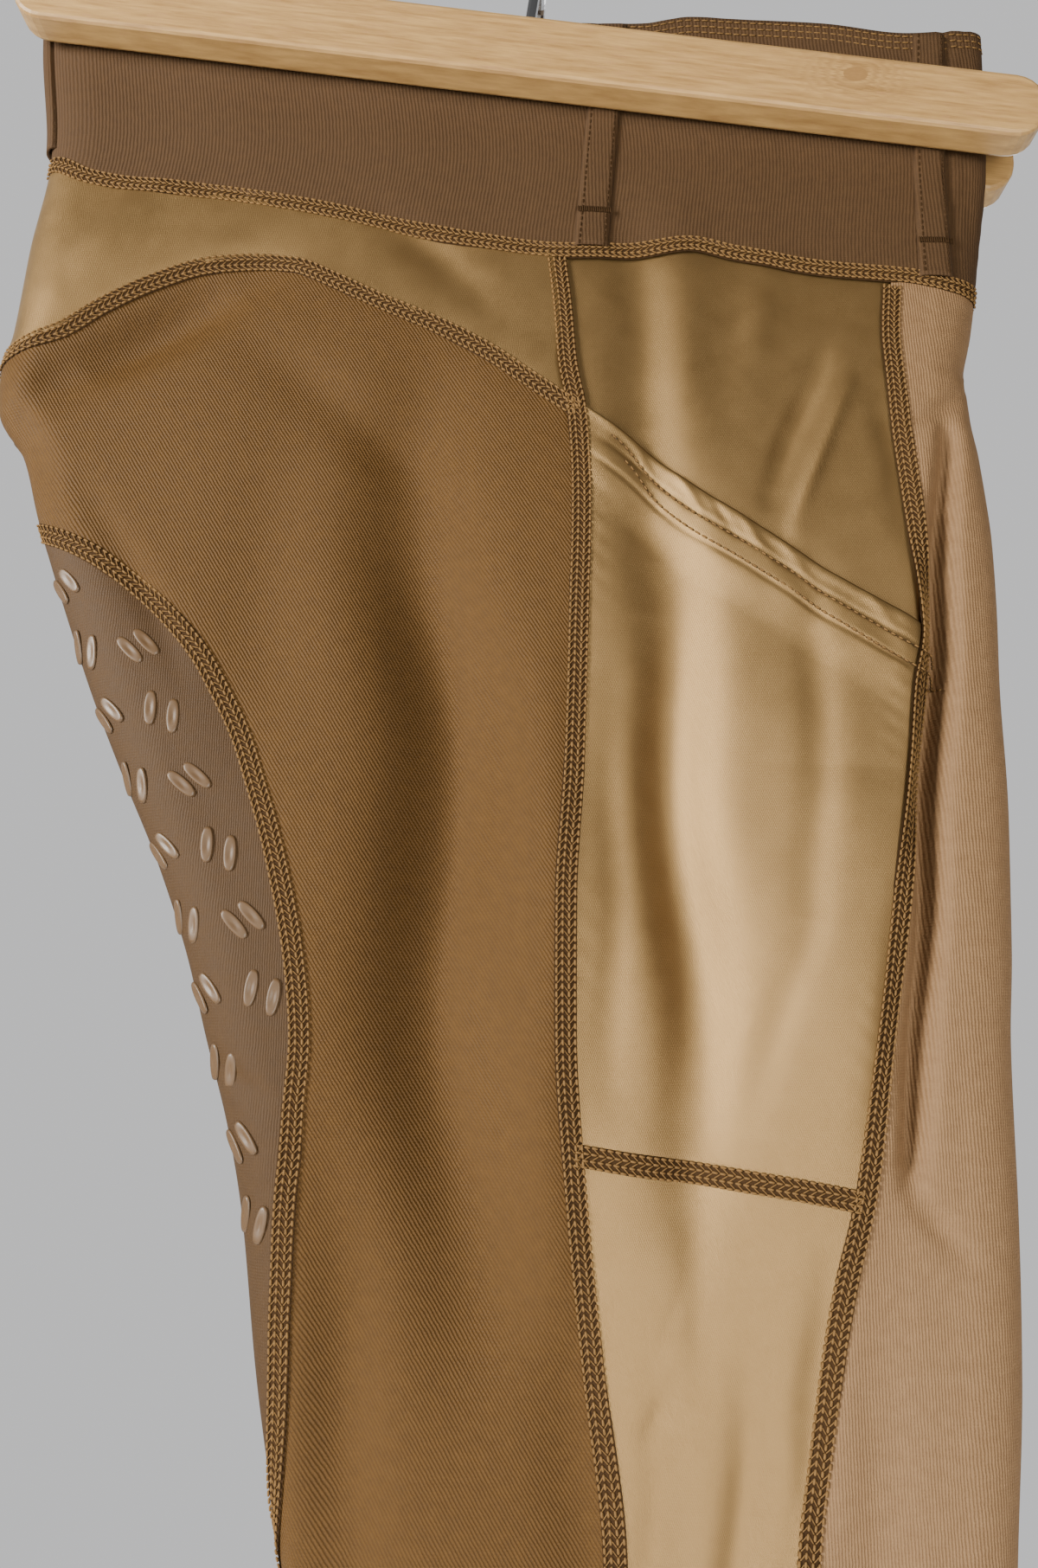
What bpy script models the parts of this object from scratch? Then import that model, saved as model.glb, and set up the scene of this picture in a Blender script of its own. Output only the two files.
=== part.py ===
"""Riding tights folded along their centre line and hung from a wooden clamp hanger.

Metres, +Z up. +X points to the garment's front, +Y away from the side that shows, and the origin is
the crown of the hook, where the rod carries it. Tables are in millimetres and name their columns.
The near half (the wearer's right leg) has side -1, the far half side +1.
"""

import math

import bmesh
import bpy
import numpy as np
from mathutils import Matrix

MM = 0.001
NEAR = -1
FAR = 1

# Cloth thicknesses and the gaps that keep the solids apart, in millimetres.
KNIT_WALL = 1.6
COATED_WALL = 1.4
BAND_WALL = 2.6
LOOP_WALL = 1.2
SEAM_INSET = 0.22
WAIST_INSET = 0.4
LAYER_GAP = 0.3
CENTRE_GAP = 0.4

# Seams and folds were measured in the garment's middle plane, along sight lines from this place. On a
# face that stands out towards it they lie a little nearer its axis, and the functions below draw them in.
SIGHT_X = -15.0
SIGHT_Z = -427.0
SIGHT_DISTANCE = 367.0

# The hanger, in millimetres. It tips about the hook because the garment's weight lies forward of it.
TILT = math.radians(8.0)
BAR_DROP = 94.0
BAR_LENGTH = 362.0
BAR_HEIGHT = 24.0
BAR_DEPTH = 12.0
BAR_INNER = 7.6
BAR_END_RADIUS = 11.0
BAR_EDGE = 1.4
HOOK_RADIUS = 21.8
WIRE_RADIUS = 1.8
YOKE_RADIUS = 2.0
YOKE_RISE = 32.0

# The flattened loop of cloth: how far from each fold the rounding reaches, and its length of cloth.
FOLD_REACH = 18.0
FOLD_CLOTH = 23.0

# Where the legs part below the notch at each fold, and over what height they do.
BACK_NOTCH_Z = -232.0
FRONT_NOTCH_Z = -211.0
PARTING_SPAN = 60.0
LEAST_TURN = 1.0

# Outline of the folded garment seen from the side: height, back fold and front fold.
OUTLINE_COLUMNS = ("z", "back", "front")
OUTLINE = [
    (-20, -190, 156),
    (-78, -187, 154),
    (-125, -182, 152),
    (-163, -186, 146),
    (-197, -188, 140),
    (-213, -191, 137),
    (-226, -190, 138),
    (-241, -181, 140),
    (-262, -175, 141.5),
    (-291, -165, 141.5),
    (-321, -153.5, 140.5),
    (-349, -141, 140),
    (-377, -128, 139),
    (-404, -118, 137),
    (-430, -110.5, 134.5),
    (-456, -102.5, 133.5),
    (-480, -97, 132.5),
    (-528, -90, 129.5),
    (-572, -82, 124.5),
    (-640, -68, 117),
    (-700, -60, 110),
    (-780, -54, 103),
    (-860, -45, 92),
    (-940, -36, 79),
    (-1010, -31, 69),
]

# Half thickness of the hung cloth by its height above or below the clamp's centre line.
SWELL_COLUMNS = ("above_clamp", "out")
SWELL = [
    (60, 7.5),
    (16, 5.0),
    (-16, 5.0),
    (-38, 6.8),
    (-62, 9.3),
    (-95, 13.5),
    (-130, 17.0),
    (-175, 20.0),
    (-260, 21.5),
    (-400, 21.0),
    (-560, 20.0),
    (-760, 18.0),
    (-930, 15.0),
]

# Seams seen from the side. The waist, yoke, pocket and crotch seams run along X, the others down Z.
WAIST_SEAM_COLUMNS = ("x", "z")
WAIST_SEAM = [
    (-195, -134), (-182, -128.5), (-168, -130.5), (-153, -133.5), (-122, -137), (-91, -142), (-61, -149), (-30, -156),
    (0, -160), (31, -159), (46, -158), (61, -161), (91, -167), (121, -170), (136, -174), (160, -181),
]
WAIST_TOP_COLUMNS = ("x", "z")
WAIST_TOP = [
    (-195, -28), (-150, -37), (-100, -47), (-61, -56), (-15, -64), (30, -65), (48, -62),
    (65, -63), (97, -65), (128, -69), (160, -72),
]
YOKE_SEAM_COLUMNS = ("x", "z")
YOKE_SEAM = [
    (-195, -209), (-190, -207), (-176, -193), (-159, -181), (-142, -172), (-124, -165.5), (-106, -163.5),
    (-94, -165), (-81, -171), (-63, -180), (-45, -188), (-27, -198), (-12, -209), (2, -219), (8, -223),
]
POCKET_MOUTH_COLUMNS = ("x", "z")
POCKET_MOUTH = [(-4, -209), (9, -220), (26, -232), (44, -246), (66, -261), (88, -277), (105, -289), (120, -297.5)]
POCKET_FLOOR_COLUMNS = ("x", "z")
POCKET_FLOOR = [(-6, -463), (6, -465), (27, -468.5), (50, -471.5), (70, -474.5), (88, -478), (96, -480)]
CROTCH_SEAM_COLUMNS = ("x", "z")
CROTCH_SEAM = [
    (-190, -236), (-181, -240), (-165, -252), (-145, -264), (-110, -284), (-60, -300),
    (0, -291), (60, -266), (110, -236), (128, -222), (140, -213),
]
BACK_SIDE_SEAM_COLUMNS = ("z", "x")
BACK_SIDE_SEAM = [
    (-140, -3), (-160, -2), (-180, 0), (-203, 1.7), (-223, 5), (-248, 6), (-297, 4.6), (-344, 2.7),
    (-388, -0.4), (-430, -0.8), (-470, 1.5), (-528, 7), (-572, 12), (-700, 14), (-860, 14), (-1010, 12),
]
FRONT_SIDE_SEAM_COLUMNS = ("z", "x")
FRONT_SIDE_SEAM = [
    (-150, 116), (-173, 115), (-197, 113.4), (-220, 114.6), (-248, 116.8), (-276, 118.4), (-297, 119),
    (-318, 115.4), (-344, 111.5), (-388, 104.1), (-430, 96.6), (-475, 88), (-504, 80), (-550, 71),
    (-572, 67), (-700, 54), (-860, 43), (-1010, 34),
]
INSEAM_COLUMNS = ("z", "x")
INSEAM = [(-290, -62), (-300, -60), (-380, -30), (-450, -10), (-606, 10), (-800, 18), (-1010, 16)]

# Right-hand edge of the back leg panel, row by row: height on the side seam, then the edge's place as
# millimetres of cloth from the back fold (plus is the outer face) and its height. Rows that say
# "crotch" lie on the crotch seam, and rows that say "inseam" on the inseam.
BACK_ROWS_COLUMNS = ("side_z", "edge_kind", "edge_q", "edge_z")
BACK_ROWS = [
    (-231, "edge", 0, -207), (-238, "edge", 0, -217), (-245, "edge", 0, -226), (-252, "edge", 0, -234),
    (-259, "crotch", -14, 0), (-265, "crotch", -28, 0), (-270, "edge", -14, -265.5), (-276, "edge", 0, -269.5),
    (-283, "edge", 14, -275.5), (-291, "edge", 26, -285), (-303, "edge", 39, -301), (-318, "edge", 46, -318),
    (-338, "edge", 48, -338), (-358, "edge", 46, -358), (-380, "edge", 42.5, -380),
    (-404, "edge", 39, -404), (-428, "edge", 35, -428), (-452, "edge", 26.5, -452),
    (-476, "edge", 20, -476), (-500, "edge", 16.5, -500), (-526, "edge", 13, -526), (-550, "edge", 7, -550),
    (-575, "edge", -5, -575), (-606, "edge", -22, -606), (-622, "edge", -30, -622),
    (-640, "edge", -40, -640), (-665, "edge", -58, -665), (-690, "inseam", 0, -690),
    (-750, "inseam", 0, -750), (-820, "inseam", 0, -820), (-890, "inseam", 0, -890),
    (-955, "inseam", 0, -955), (-1010, "inseam", 0, -1010),
]
WAIST_FADE = [1.0, 0.5, 0.15]
YOKE_FADE = [1.0, 0.76, 0.54, 0.36, 0.22, 0.12, 0.06, 0.02]

# The grip patch takes rows 5 to 26 of that edge as its outer seam; its other edge runs along the
# crotch seam and then down the inseam.
PATCH_FIRST_ROW = 5
PATCH_LAST_ROW = 26
PATCH_CROTCH_X = [-145, -131, -114, -96, -78, -60]
PATCH_INSEAM_Z = [
    -318, -338, -358, -380, -404, -428, -452, -476, -500, -526, -550, -575, -606, -622, -640, -690,
]

# The front panel's edge: centre-front fold, crotch seam by its place along X, then the inseam.
SIDE_WAIST_Z = -168.0
FRONT_SIDE_Z = [-178, -191, -207, -221, -236, -250, -264, -277, -290, -303]
FRONT_FOLD_Z = [-180, -191, -202, -213]
FRONT_CROTCH_X = [126, 92, 54, 14, -24]
INSEAM_ROWS = [
    -300, -310, -318, -338, -358, -380, -404, -428, -452, -476, -500, -526, -550, -575, -606, -640, -690,
    -750, -820, -890, -955, -1010,
]
LOWER_ROWS = [-500, -526, -550, -575, -606, -640, -690, -750, -820, -890, -955, -1010]
LEAST_STRIP = 6.0
FRONT_OUTER_SHARES = [0, 0.07, 0.14, 0.22, 0.31, 0.41, 0.52, 0.64, 0.77, 0.89, 1]
BACK_OUTER_SHARES = [0, 0.11, 0.22, 0.33, 0.44, 0.55, 0.66, 0.76, 0.85, 0.93, 1]
PATCH_OUTER_SHARES = [0, 0.4, 0.75, 1]
INNER_SHARES = [0, 0.06, 0.14, 0.27, 0.52, 1]

# Largest folds of the hung cloth: a trough's two ends, its half width, its depth and which side.
FOLDS_COLUMNS = ("x0", "z0", "x1", "z1", "width", "depth", "side")
FOLDS = [
    (127, -236, 112, -455, 6.5, 11.0, NEAR),
    (-128, -176, -176, -212, 13, 6.0, NEAR),
    (-34, -235, -62, -445, 24, 5.5, NEAR),
    (26, -262, 42, -440, 11, 5.0, NEAR),
    (38, -150, 36, -215, 13, 3.2, NEAR),
    (52, -490, 48, -575, 9, 2.6, NEAR),
    (126, -250, 114, -440, 7, 8.0, FAR),
    (-120, -182, -172, -216, 14, 5.0, FAR),
    (-44, -245, -54, -470, 22, 5.0, FAR),
    (60, -270, 50, -430, 13, 4.0, FAR),
]
FAR_BACK_SHIFT = -3.0

# Belt loops: centre along the band at its bottom and top, side, and whether it wraps the back fold.
LOOP_WIDTH = 12.0
LOOP_RISE = [0.015, 0.2, 0.4, 0.62, 0.85, 0.985]
BAND_RISE = [0.0, 0.2, 0.4, 0.62, 0.85, 1.0]
LOOPS_COLUMNS = ("name", "x_bottom", "x_top", "side")
LOOPS = [
    ("belt_loop_side_near", 9.5, 18.5, NEAR),
    ("belt_loop_front_near", 127.0, 133.0, NEAR),
    ("belt_loop_side_far", 9.5, 18.5, FAR),
    ("belt_loop_front_far", 127.0, 133.0, FAR),
]


def smooth_lookup(table, at):
    """Reads the second column of a table at a value of its first, along a smooth monotone curve."""
    rows = np.array(sorted((row[0], row[1]) for row in table), float)
    xs, ys = rows[:, 0], rows[:, 1]
    steps = np.diff(ys) / np.diff(xs)
    slopes = np.zeros(len(xs))
    for i in range(1, len(xs) - 1):
        if steps[i - 1] * steps[i] > 0:
            slopes[i] = 2 * steps[i - 1] * steps[i] / (steps[i - 1] + steps[i])
    slopes[0], slopes[-1] = steps[0], steps[-1]
    i = int(np.clip(np.searchsorted(xs, at) - 1, 0, len(xs) - 2))
    span = xs[i + 1] - xs[i]
    t = min(1.0, max(0.0, (at - xs[i]) / span))
    a, b = 2 * t**3 - 3 * t**2 + 1, t**3 - 2 * t**2 + t
    c, d = -2 * t**3 + 3 * t**2, t**3 - t**2
    return a * ys[i] + b * span * slopes[i] + c * ys[i + 1] + d * span * slopes[i + 1]


def smooth_step(low, high, at):
    t = min(1.0, max(0.0, (at - low) / (high - low)))
    return t * t * (3 - 2 * t)


def clamp_height(x):
    """Height of the clamp bars' centre line at x."""
    return -BAR_DROP * math.cos(TILT) - math.tan(TILT) * (x + BAR_DROP * math.sin(TILT))


def half_thickness(x, z):
    return smooth_lookup(SWELL, z - clamp_height(x))


def drawn_in(x, z, out):
    """Where a point measured in the middle plane lies, on a face that stands out from that plane."""
    share = 1.0 - out / SIGHT_DISTANCE
    return SIGHT_X + (x - SIGHT_X) * share, SIGHT_Z + (z - SIGHT_Z) * share


def parting(z, at_front):
    """How far the two legs' folds have parted, from 0 in the trunk to 1 in the leg."""
    notch = FRONT_NOTCH_Z if at_front else BACK_NOTCH_Z
    return math.sqrt(min(1.0, max(0.0, (notch - z) / PARTING_SPAN)))


def fold_table(column):
    """One side of the outline, moved onto the legs' folds."""
    rows = []
    for row in OUTLINE:
        x, z = row[column], row[0]
        out = parting(z, column == 2) * half_thickness(x, z) / 2
        rows.append(drawn_in(x, z, out)[::-1])
    return rows


BACK_FOLD = fold_table(1)
FRONT_FOLD = fold_table(2)


def face_out(x, z):
    """How far the outer face stands out at a place seen from the side."""
    back, front = smooth_lookup(BACK_FOLD, z), smooth_lookup(FRONT_FOLD, z)
    at_front = x > (back + front) / 2
    inset = min(FOLD_REACH, max(0.0, front - x if at_front else x - back))
    rounding = math.sqrt(1.0 - (1.0 - inset / FOLD_REACH) ** 2)
    out = half_thickness(x, z)
    offset = parting(z, at_front) * out / 2
    return offset + (out - offset) * rounding


def face_seam(table):
    """A seam that runs along X, moved onto the outer face."""
    return [drawn_in(x, z, face_out(x, z)) for x, z in table]


def face_seam_down(table):
    """A seam that runs down Z, moved onto the outer face."""
    return [drawn_in(x, z, face_out(x, z))[::-1] for z, x in table]


WAIST_SEAM = face_seam(WAIST_SEAM)
WAIST_TOP = face_seam(WAIST_TOP)
YOKE_SEAM = face_seam(YOKE_SEAM)
POCKET_MOUTH = face_seam(POCKET_MOUTH)
POCKET_FLOOR = face_seam(POCKET_FLOOR)
BACK_SIDE_SEAM = face_seam_down(BACK_SIDE_SEAM)
FRONT_SIDE_SEAM = face_seam_down(FRONT_SIDE_SEAM)


def fold_lines(z, side):
    """Back and front folds at a height. The far leg stands a little further back than the near one."""
    back = smooth_lookup(BACK_FOLD, z)
    front = smooth_lookup(FRONT_FOLD, z)
    if side == FAR:
        back += FAR_BACK_SHIFT * smooth_step(-245, -275, z) * smooth_step(-500, -430, z)
    return back, front


def trough(x, z, side):
    """Depth of the largest folds at a point of the outer face."""
    depth = 0.0
    for x0, z0, x1, z1, width, deep, fold_side in FOLDS:
        if fold_side != side:
            continue
        run = np.array([x1 - x0, z1 - z0], float)
        length = float(np.hypot(*run))
        along = float(np.dot([x - x0, z - z0], run)) / length
        across = float(run[0] * (z - z0) - run[1] * (x - x0)) / length
        t = min(1.0, max(0.0, along / length))
        off_end = along - t * length
        taper = math.sin(math.pi * min(1.0, max(0.0, 0.12 + 0.76 * t))) ** 0.8
        depth += deep * taper * math.exp(-(across**2) / width**2 - off_end**2 / (2 * width) ** 2)
    return depth


def fold_offset(z, side, at_front):
    """Distance of a leg's fold from the plane between the two halves."""
    fold = fold_lines(z, side)[1 if at_front else 0]
    return parting(z, at_front) * half_thickness(fold, z) / 2


def inner_run(z, side, at_front, x):
    """Millimetres of cloth on the inner face from a fold to a place along X."""
    turn = max(LEAST_TURN, fold_offset(z, side, at_front))
    fold = fold_lines(z, side)[1 if at_front else 0]
    return turn * math.pi / 2 + abs(fold - x) - turn


def inner_point(run, z, side, at_front):
    """A point of the inner face, some millimetres of cloth from the fold."""
    fold = fold_lines(z, side)[1 if at_front else 0]
    offset = fold_offset(z, side, at_front)
    turn = max(LEAST_TURN, offset)
    angle = min(1.0, run / (turn * math.pi / 2)) * math.pi / 2
    inset = turn * (1 - math.cos(angle)) + max(0.0, run - turn * math.pi / 2)
    x = fold - inset if at_front else fold + inset
    y = max(CENTRE_GAP, offset + (CENTRE_GAP - offset) * math.sin(angle))
    return np.array([x, side * y, z])


def cloth_point(q, z, side):
    """A point of the garment's outer surface, q millimetres of cloth from the back fold. Less than
    nothing is the inner face behind the back fold; past the front fold q goes on to the inner face."""
    across = cloth_across(z, side)
    if q < 0:
        return inner_point(-q, z, side, False)
    if q > across:
        return inner_point(q - across, z, side, True)
    back, front = fold_lines(z, side)
    at_front = q > across / 2
    reach = across - q if at_front else q
    angle = min(1.0, reach / FOLD_CLOTH) * math.pi / 2
    inset = FOLD_REACH * (1 - math.cos(angle)) + max(0.0, reach - FOLD_CLOTH)
    x = front - inset if at_front else back + inset
    offset = fold_offset(z, side, at_front)
    rounding = math.sin(angle)
    out = half_thickness(x, z) - trough(x, z, side) * rounding
    return np.array([x, side * (offset + (out - offset) * rounding), z])


def cloth_across(z, side):
    """Millimetres of cloth from the back fold to the front fold over the outer face."""
    back, front = fold_lines(z, side)
    return 2 * FOLD_CLOTH + (front - back) - 2 * FOLD_REACH


def cloth_q(x, z, side):
    """Where a point of the outer face lies on the cloth, as millimetres from the back fold."""
    back, front = fold_lines(z, side)
    near_front = x > (back + front) / 2
    inset = max(0.0, (front - x) if near_front else (x - back))
    if inset < FOLD_REACH:
        reach = FOLD_CLOTH * math.acos(1 - inset / FOLD_REACH) / (math.pi / 2)
    else:
        reach = FOLD_CLOTH + inset - FOLD_REACH
    return cloth_across(z, side) - reach if near_front else reach


def inner_q(x, z, side, at_front):
    """Where a point of the inner face lies on the cloth, counted round one of the folds."""
    run = inner_run(z, side, at_front, x)
    return cloth_across(z, side) + run if at_front else -run


def cloth_normal(q, z, side):
    """Outward direction of the cloth, from points a little way along it each way."""
    step = 1.5
    along = cloth_point(q + step, z, side) - cloth_point(q - step, z, side)
    up = cloth_point(q, z + step, side) - cloth_point(q, z - step, side)
    normal = np.cross(along, up) * -side
    return normal / np.linalg.norm(normal)


def on_seam(seam, z):
    return smooth_lookup(seam, z)


def crotch_place(x, side, at_front):
    """The crotch seam at a place along X, on the inner face."""
    z = smooth_lookup(CROTCH_SEAM, x)
    return (inner_q(x, z, side, at_front), z)


def inseam_place(z, side, at_front):
    return (inner_q(on_seam(INSEAM, z), z, side, at_front), z)


def material(name, colour, roughness, metallic=0.0, coat=0.0):
    made = bpy.data.materials.new(name)
    made.use_nodes = True
    shader = made.node_tree.nodes["Principled BSDF"]
    shader.inputs["Base Color"].default_value = (*colour, 1.0)
    shader.inputs["Roughness"].default_value = roughness
    shader.inputs["Metallic"].default_value = metallic
    shader.inputs["Coat Weight"].default_value = coat
    made.diffuse_color = (*colour, 1.0)
    return made


def add_object(name, mesh, finish, group):
    made = bpy.data.objects.new(name, mesh)
    mesh.materials.append(finish)
    group.objects.link(made)
    return made


def inset_ends(places):
    """Moves the first and last rows of a piece that runs on round a fold towards its middle."""
    moved = places.copy()
    for row, way in ((0, places[1] - places[0]), (-1, places[-2] - places[-1])):
        moved[row] = places[row] + way * (WAIST_INSET / np.linalg.norm(way, axis=1))[:, None]
    return moved


def inset_outline(places):
    """Moves a panel's outline inwards, square to its edges, so that sewn pieces stand a little apart."""
    moved = places.copy()
    last_row, last_column = len(places) - 1, len(places[0]) - 1
    loop = [(0, j) for j in range(last_column)]
    loop += [(i, last_column) for i in range(last_row)]
    loop += [(last_row, j) for j in range(last_column, 0, -1)]
    loop += [(i, 0) for i in range(last_row, 0, -1)]
    outline = np.array([places[at] for at in loop])
    ways = np.roll(outline, -1, axis=0) - outline
    ways /= np.linalg.norm(ways, axis=1)[:, None]
    following = np.roll(outline, -1, axis=0)
    area = float(np.sum(outline[:, 0] * following[:, 1] - following[:, 0] * outline[:, 1]))
    inward = np.stack([-ways[:, 1], ways[:, 0]], axis=1) * math.copysign(1.0, area)
    for k, at in enumerate(loop):
        before, after = inward[k - 1], inward[k]
        spread = max(0.3, 1.0 + float(np.dot(before, after)))
        moved[at] = places[at] + (before + after) * (SEAM_INSET / spread)
    return moved


def cloth_solid(name, outer, inner, finish, group, closed=False):
    """A wall of cloth between two grids of points, in millimetres, shaped [row][column]."""
    rows, columns = len(outer), len(outer[0])
    points = [point * MM for grid in (outer, inner) for row in grid for point in row]
    spans = columns if closed else columns - 1

    def at(layer, i, j):
        return layer * rows * columns + i * columns + j % columns

    faces = []
    for i in range(rows - 1):
        for j in range(spans):
            faces.append([at(0, i, j), at(0, i, j + 1), at(0, i + 1, j + 1), at(0, i + 1, j)])
            faces.append([at(1, i, j), at(1, i + 1, j), at(1, i + 1, j + 1), at(1, i, j + 1)])
    for j in range(spans):
        faces.append([at(0, 0, j), at(1, 0, j), at(1, 0, j + 1), at(0, 0, j + 1)])
        last = rows - 1
        faces.append([at(0, last, j), at(0, last, j + 1), at(1, last, j + 1), at(1, last, j)])
    if not closed:
        for i in range(rows - 1):
            faces.append([at(0, i, 0), at(0, i + 1, 0), at(1, i + 1, 0), at(1, i, 0)])
            end = columns - 1
            faces.append([at(0, i, end), at(1, i, end), at(1, i + 1, end), at(0, i + 1, end)])
    mesh = bpy.data.meshes.new(name)
    mesh.from_pydata(points, [], faces)
    shape = bmesh.new()
    shape.from_mesh(mesh)
    if shape.calc_volume(signed=True) < 0:
        bmesh.ops.reverse_faces(shape, faces=shape.faces)
    shape.to_mesh(mesh)
    shape.free()
    made = add_object(name, mesh, finish, group)
    mesh.shade_smooth()
    mesh.set_sharp_from_angle(angle=math.radians(50))
    return made


def sheet_panel(name, places, side, wall, finish, group, lift=0.0, extra=None):
    """A panel whose grid of places (q, z) lies on one half of the garment."""
    places = inset_outline(np.array(places, float))
    outer, inner = [], []
    for i, row in enumerate(places):
        outer_row, inner_row = [], []
        for q, z in row:
            normal = cloth_normal(q, z, side)
            point = cloth_point(q, z, side)
            raised = lift + (extra[i] if extra else 0.0)
            outer_row.append(point + normal * raised)
            inner_row.append(point + normal * (lift - wall))
        outer.append(outer_row)
        inner.append(inner_row)
    return cloth_solid(name, outer, inner, finish, group)


def row_over_fold(start, end, fold_q, before, after):
    """Places from one (q, z) to another. The given shares of the way lie before and after the fold,
    which stays on one column, and a row that doesn't reach the fold keeps a narrow strip instead."""
    run = end[0] - start[0]
    tuck = min(LEAST_STRIP / abs(run), 0.5)
    knee = min(1.0 - tuck, max(tuck, (fold_q - start[0]) / run))
    shares = [knee * t for t in before[:-1]] + [knee + (1.0 - knee) * t for t in after]
    return [(start[0] + run * t, start[1] + (end[1] - start[1]) * t) for t in shares]


def back_edge_rows(side):
    """The back leg panel's right-hand edge as a list of (q, z)."""
    rows = []
    for _, kind, q, z in BACK_ROWS:
        if kind == "crotch":
            back = fold_lines(-250, side)[0]
            rows.append(crotch_place(back - q, side, False))
        elif kind == "inseam":
            rows.append(inseam_place(z, side, False))
        else:
            rows.append((q, z))
    return rows


def side_seam_place(seam, z, side):
    return (cloth_q(on_seam(seam, z), z, side), z)


def waist_places(start_x, end_x, columns, side, seam):
    places = []
    for x in np.linspace(start_x, end_x, columns + 1):
        z = smooth_lookup(seam, x)
        places.append((cloth_q(x, z, side), z))
    return places


def seam_at(seam, q, z, side):
    """Height of a seam that runs along X, where the cloth's place q is."""
    for _ in range(12):
        z = smooth_lookup(seam, cloth_point(q, z, side)[0])
    return z


def back_columns(start, end):
    return row_over_fold(start, end, 0.0, BACK_OUTER_SHARES, INNER_SHARES)


def yoke_seam_row(side):
    """The yoke seam from the side seam to the centre back, at the back panel's own columns."""
    start = side_seam_place(BACK_SIDE_SEAM, BACK_ROWS[0][0], side)
    return [(q, seam_at(YOKE_SEAM, q, -200.0, side)) for q, _ in back_columns(start, (0.0, 0.0))]


def back_leg_panel(side, label, finish, group):
    edge = back_edge_rows(side)
    yoke = yoke_seam_row(side)
    straight = back_columns(yoke[0], yoke[-1])
    bulge = [curve[1] - line[1] for curve, line in zip(yoke, straight)]
    places = [yoke]
    for i in range(1, len(BACK_ROWS)):
        row = back_columns(side_seam_place(BACK_SIDE_SEAM, BACK_ROWS[i][0], side), edge[i])
        fade = YOKE_FADE[i] if i < len(YOKE_FADE) else 0.0
        places.append([(q, z + fade * rise) for (q, z), rise in zip(row, bulge)])
    return sheet_panel(f"back_leg_{label}", places, side, KNIT_WALL, finish, group)


def grip_patch(side, label, finish, group):
    outer_edge = back_edge_rows(side)[PATCH_FIRST_ROW : PATCH_LAST_ROW + 1]
    inner_edge = [crotch_place(x, side, False) for x in PATCH_CROTCH_X]
    inner_edge += [inseam_place(z, side, False) for z in PATCH_INSEAM_Z]
    places = [
        row_over_fold(a, b, 0.0, PATCH_OUTER_SHARES, INNER_SHARES) for a, b in zip(outer_edge, inner_edge)
    ]
    return sheet_panel(f"grip_patch_{label}", places, side, KNIT_WALL, finish, group)


def front_leg_panel(side, label, finish, group):
    places = []
    edge = [(cloth_across(z, side), z) for z in FRONT_FOLD_Z]
    edge += [crotch_place(x, side, True) for x in FRONT_CROTCH_X]
    edge += [inseam_place(z, side, True) for z in INSEAM_ROWS]
    side_z = FRONT_SIDE_Z + INSEAM_ROWS[1:]
    bulge = None
    for i, (start_z, end) in enumerate(zip(side_z, edge)):
        start = side_seam_place(FRONT_SIDE_SEAM, start_z, side)
        fold = cloth_across(start_z, side)
        row = row_over_fold(start, end, fold, FRONT_OUTER_SHARES, INNER_SHARES)
        if bulge is None:
            bulge = [seam_at(WAIST_SEAM, q, z, side) - z for q, z in row]
        fade = WAIST_FADE[i] if i < len(WAIST_FADE) else 0.0
        places.append([(q, z + fade * rise) for (q, z), rise in zip(row, bulge)])
    return sheet_panel(f"front_leg_{label}", places, side, KNIT_WALL, finish, group)


def side_strip(side, top, bottom, rows, columns):
    """Places between the two side seams, from one seam that crosses them down to another."""
    places = []
    for t in np.linspace(0, 1, rows + 1):
        row = []
        for s in np.linspace(0, 1, columns + 1):
            x, z = 60.0, -250.0
            for _ in range(10):
                z = smooth_lookup(top, x) * (1 - t) + smooth_lookup(bottom, x) * t
                x = on_seam(BACK_SIDE_SEAM, z) * (1 - s) + on_seam(FRONT_SIDE_SEAM, z) * s
            row.append((cloth_q(x, z, side), z))
        places.append(row)
    return places


def side_panels(side, label, finish, group):
    """The pocket's backing up to the waist, the pocket over it, and the panel below them."""
    columns = 7
    upper = side_strip(side, WAIST_SEAM, POCKET_MOUTH, 4, columns)
    hem_line = [(x, z - 22.0) for x, z in POCKET_MOUTH]
    hem = side_strip(side, POCKET_MOUTH, hem_line, 2, columns)
    bag = side_strip(side, hem_line, POCKET_FLOOR, 8, columns)
    pocket = hem + bag[1:]
    backing = upper + pocket[1:]
    sink = -(COATED_WALL + LAYER_GAP)
    sheet_panel(f"side_backing_{label}", backing, side, COATED_WALL - 0.2, finish, group, lift=sink)
    hem_raise = [0.5, 0.7, 0.0] + [0.0] * (len(pocket) - 3)
    sheet_panel(f"pocket_{label}", pocket, side, COATED_WALL, finish, group, extra=hem_raise)
    lower = side_strip(side, POCKET_FLOOR, POCKET_FLOOR, 1, 5)[:1]
    for z in LOWER_ROWS:
        x_back, x_front = on_seam(BACK_SIDE_SEAM, z), on_seam(FRONT_SIDE_SEAM, z)
        lower.append([(cloth_q(x, z, side), z) for x in np.linspace(x_back, x_front, 6)])
    sheet_panel(f"side_lower_{label}", lower, side, COATED_WALL, finish, group)


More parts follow.
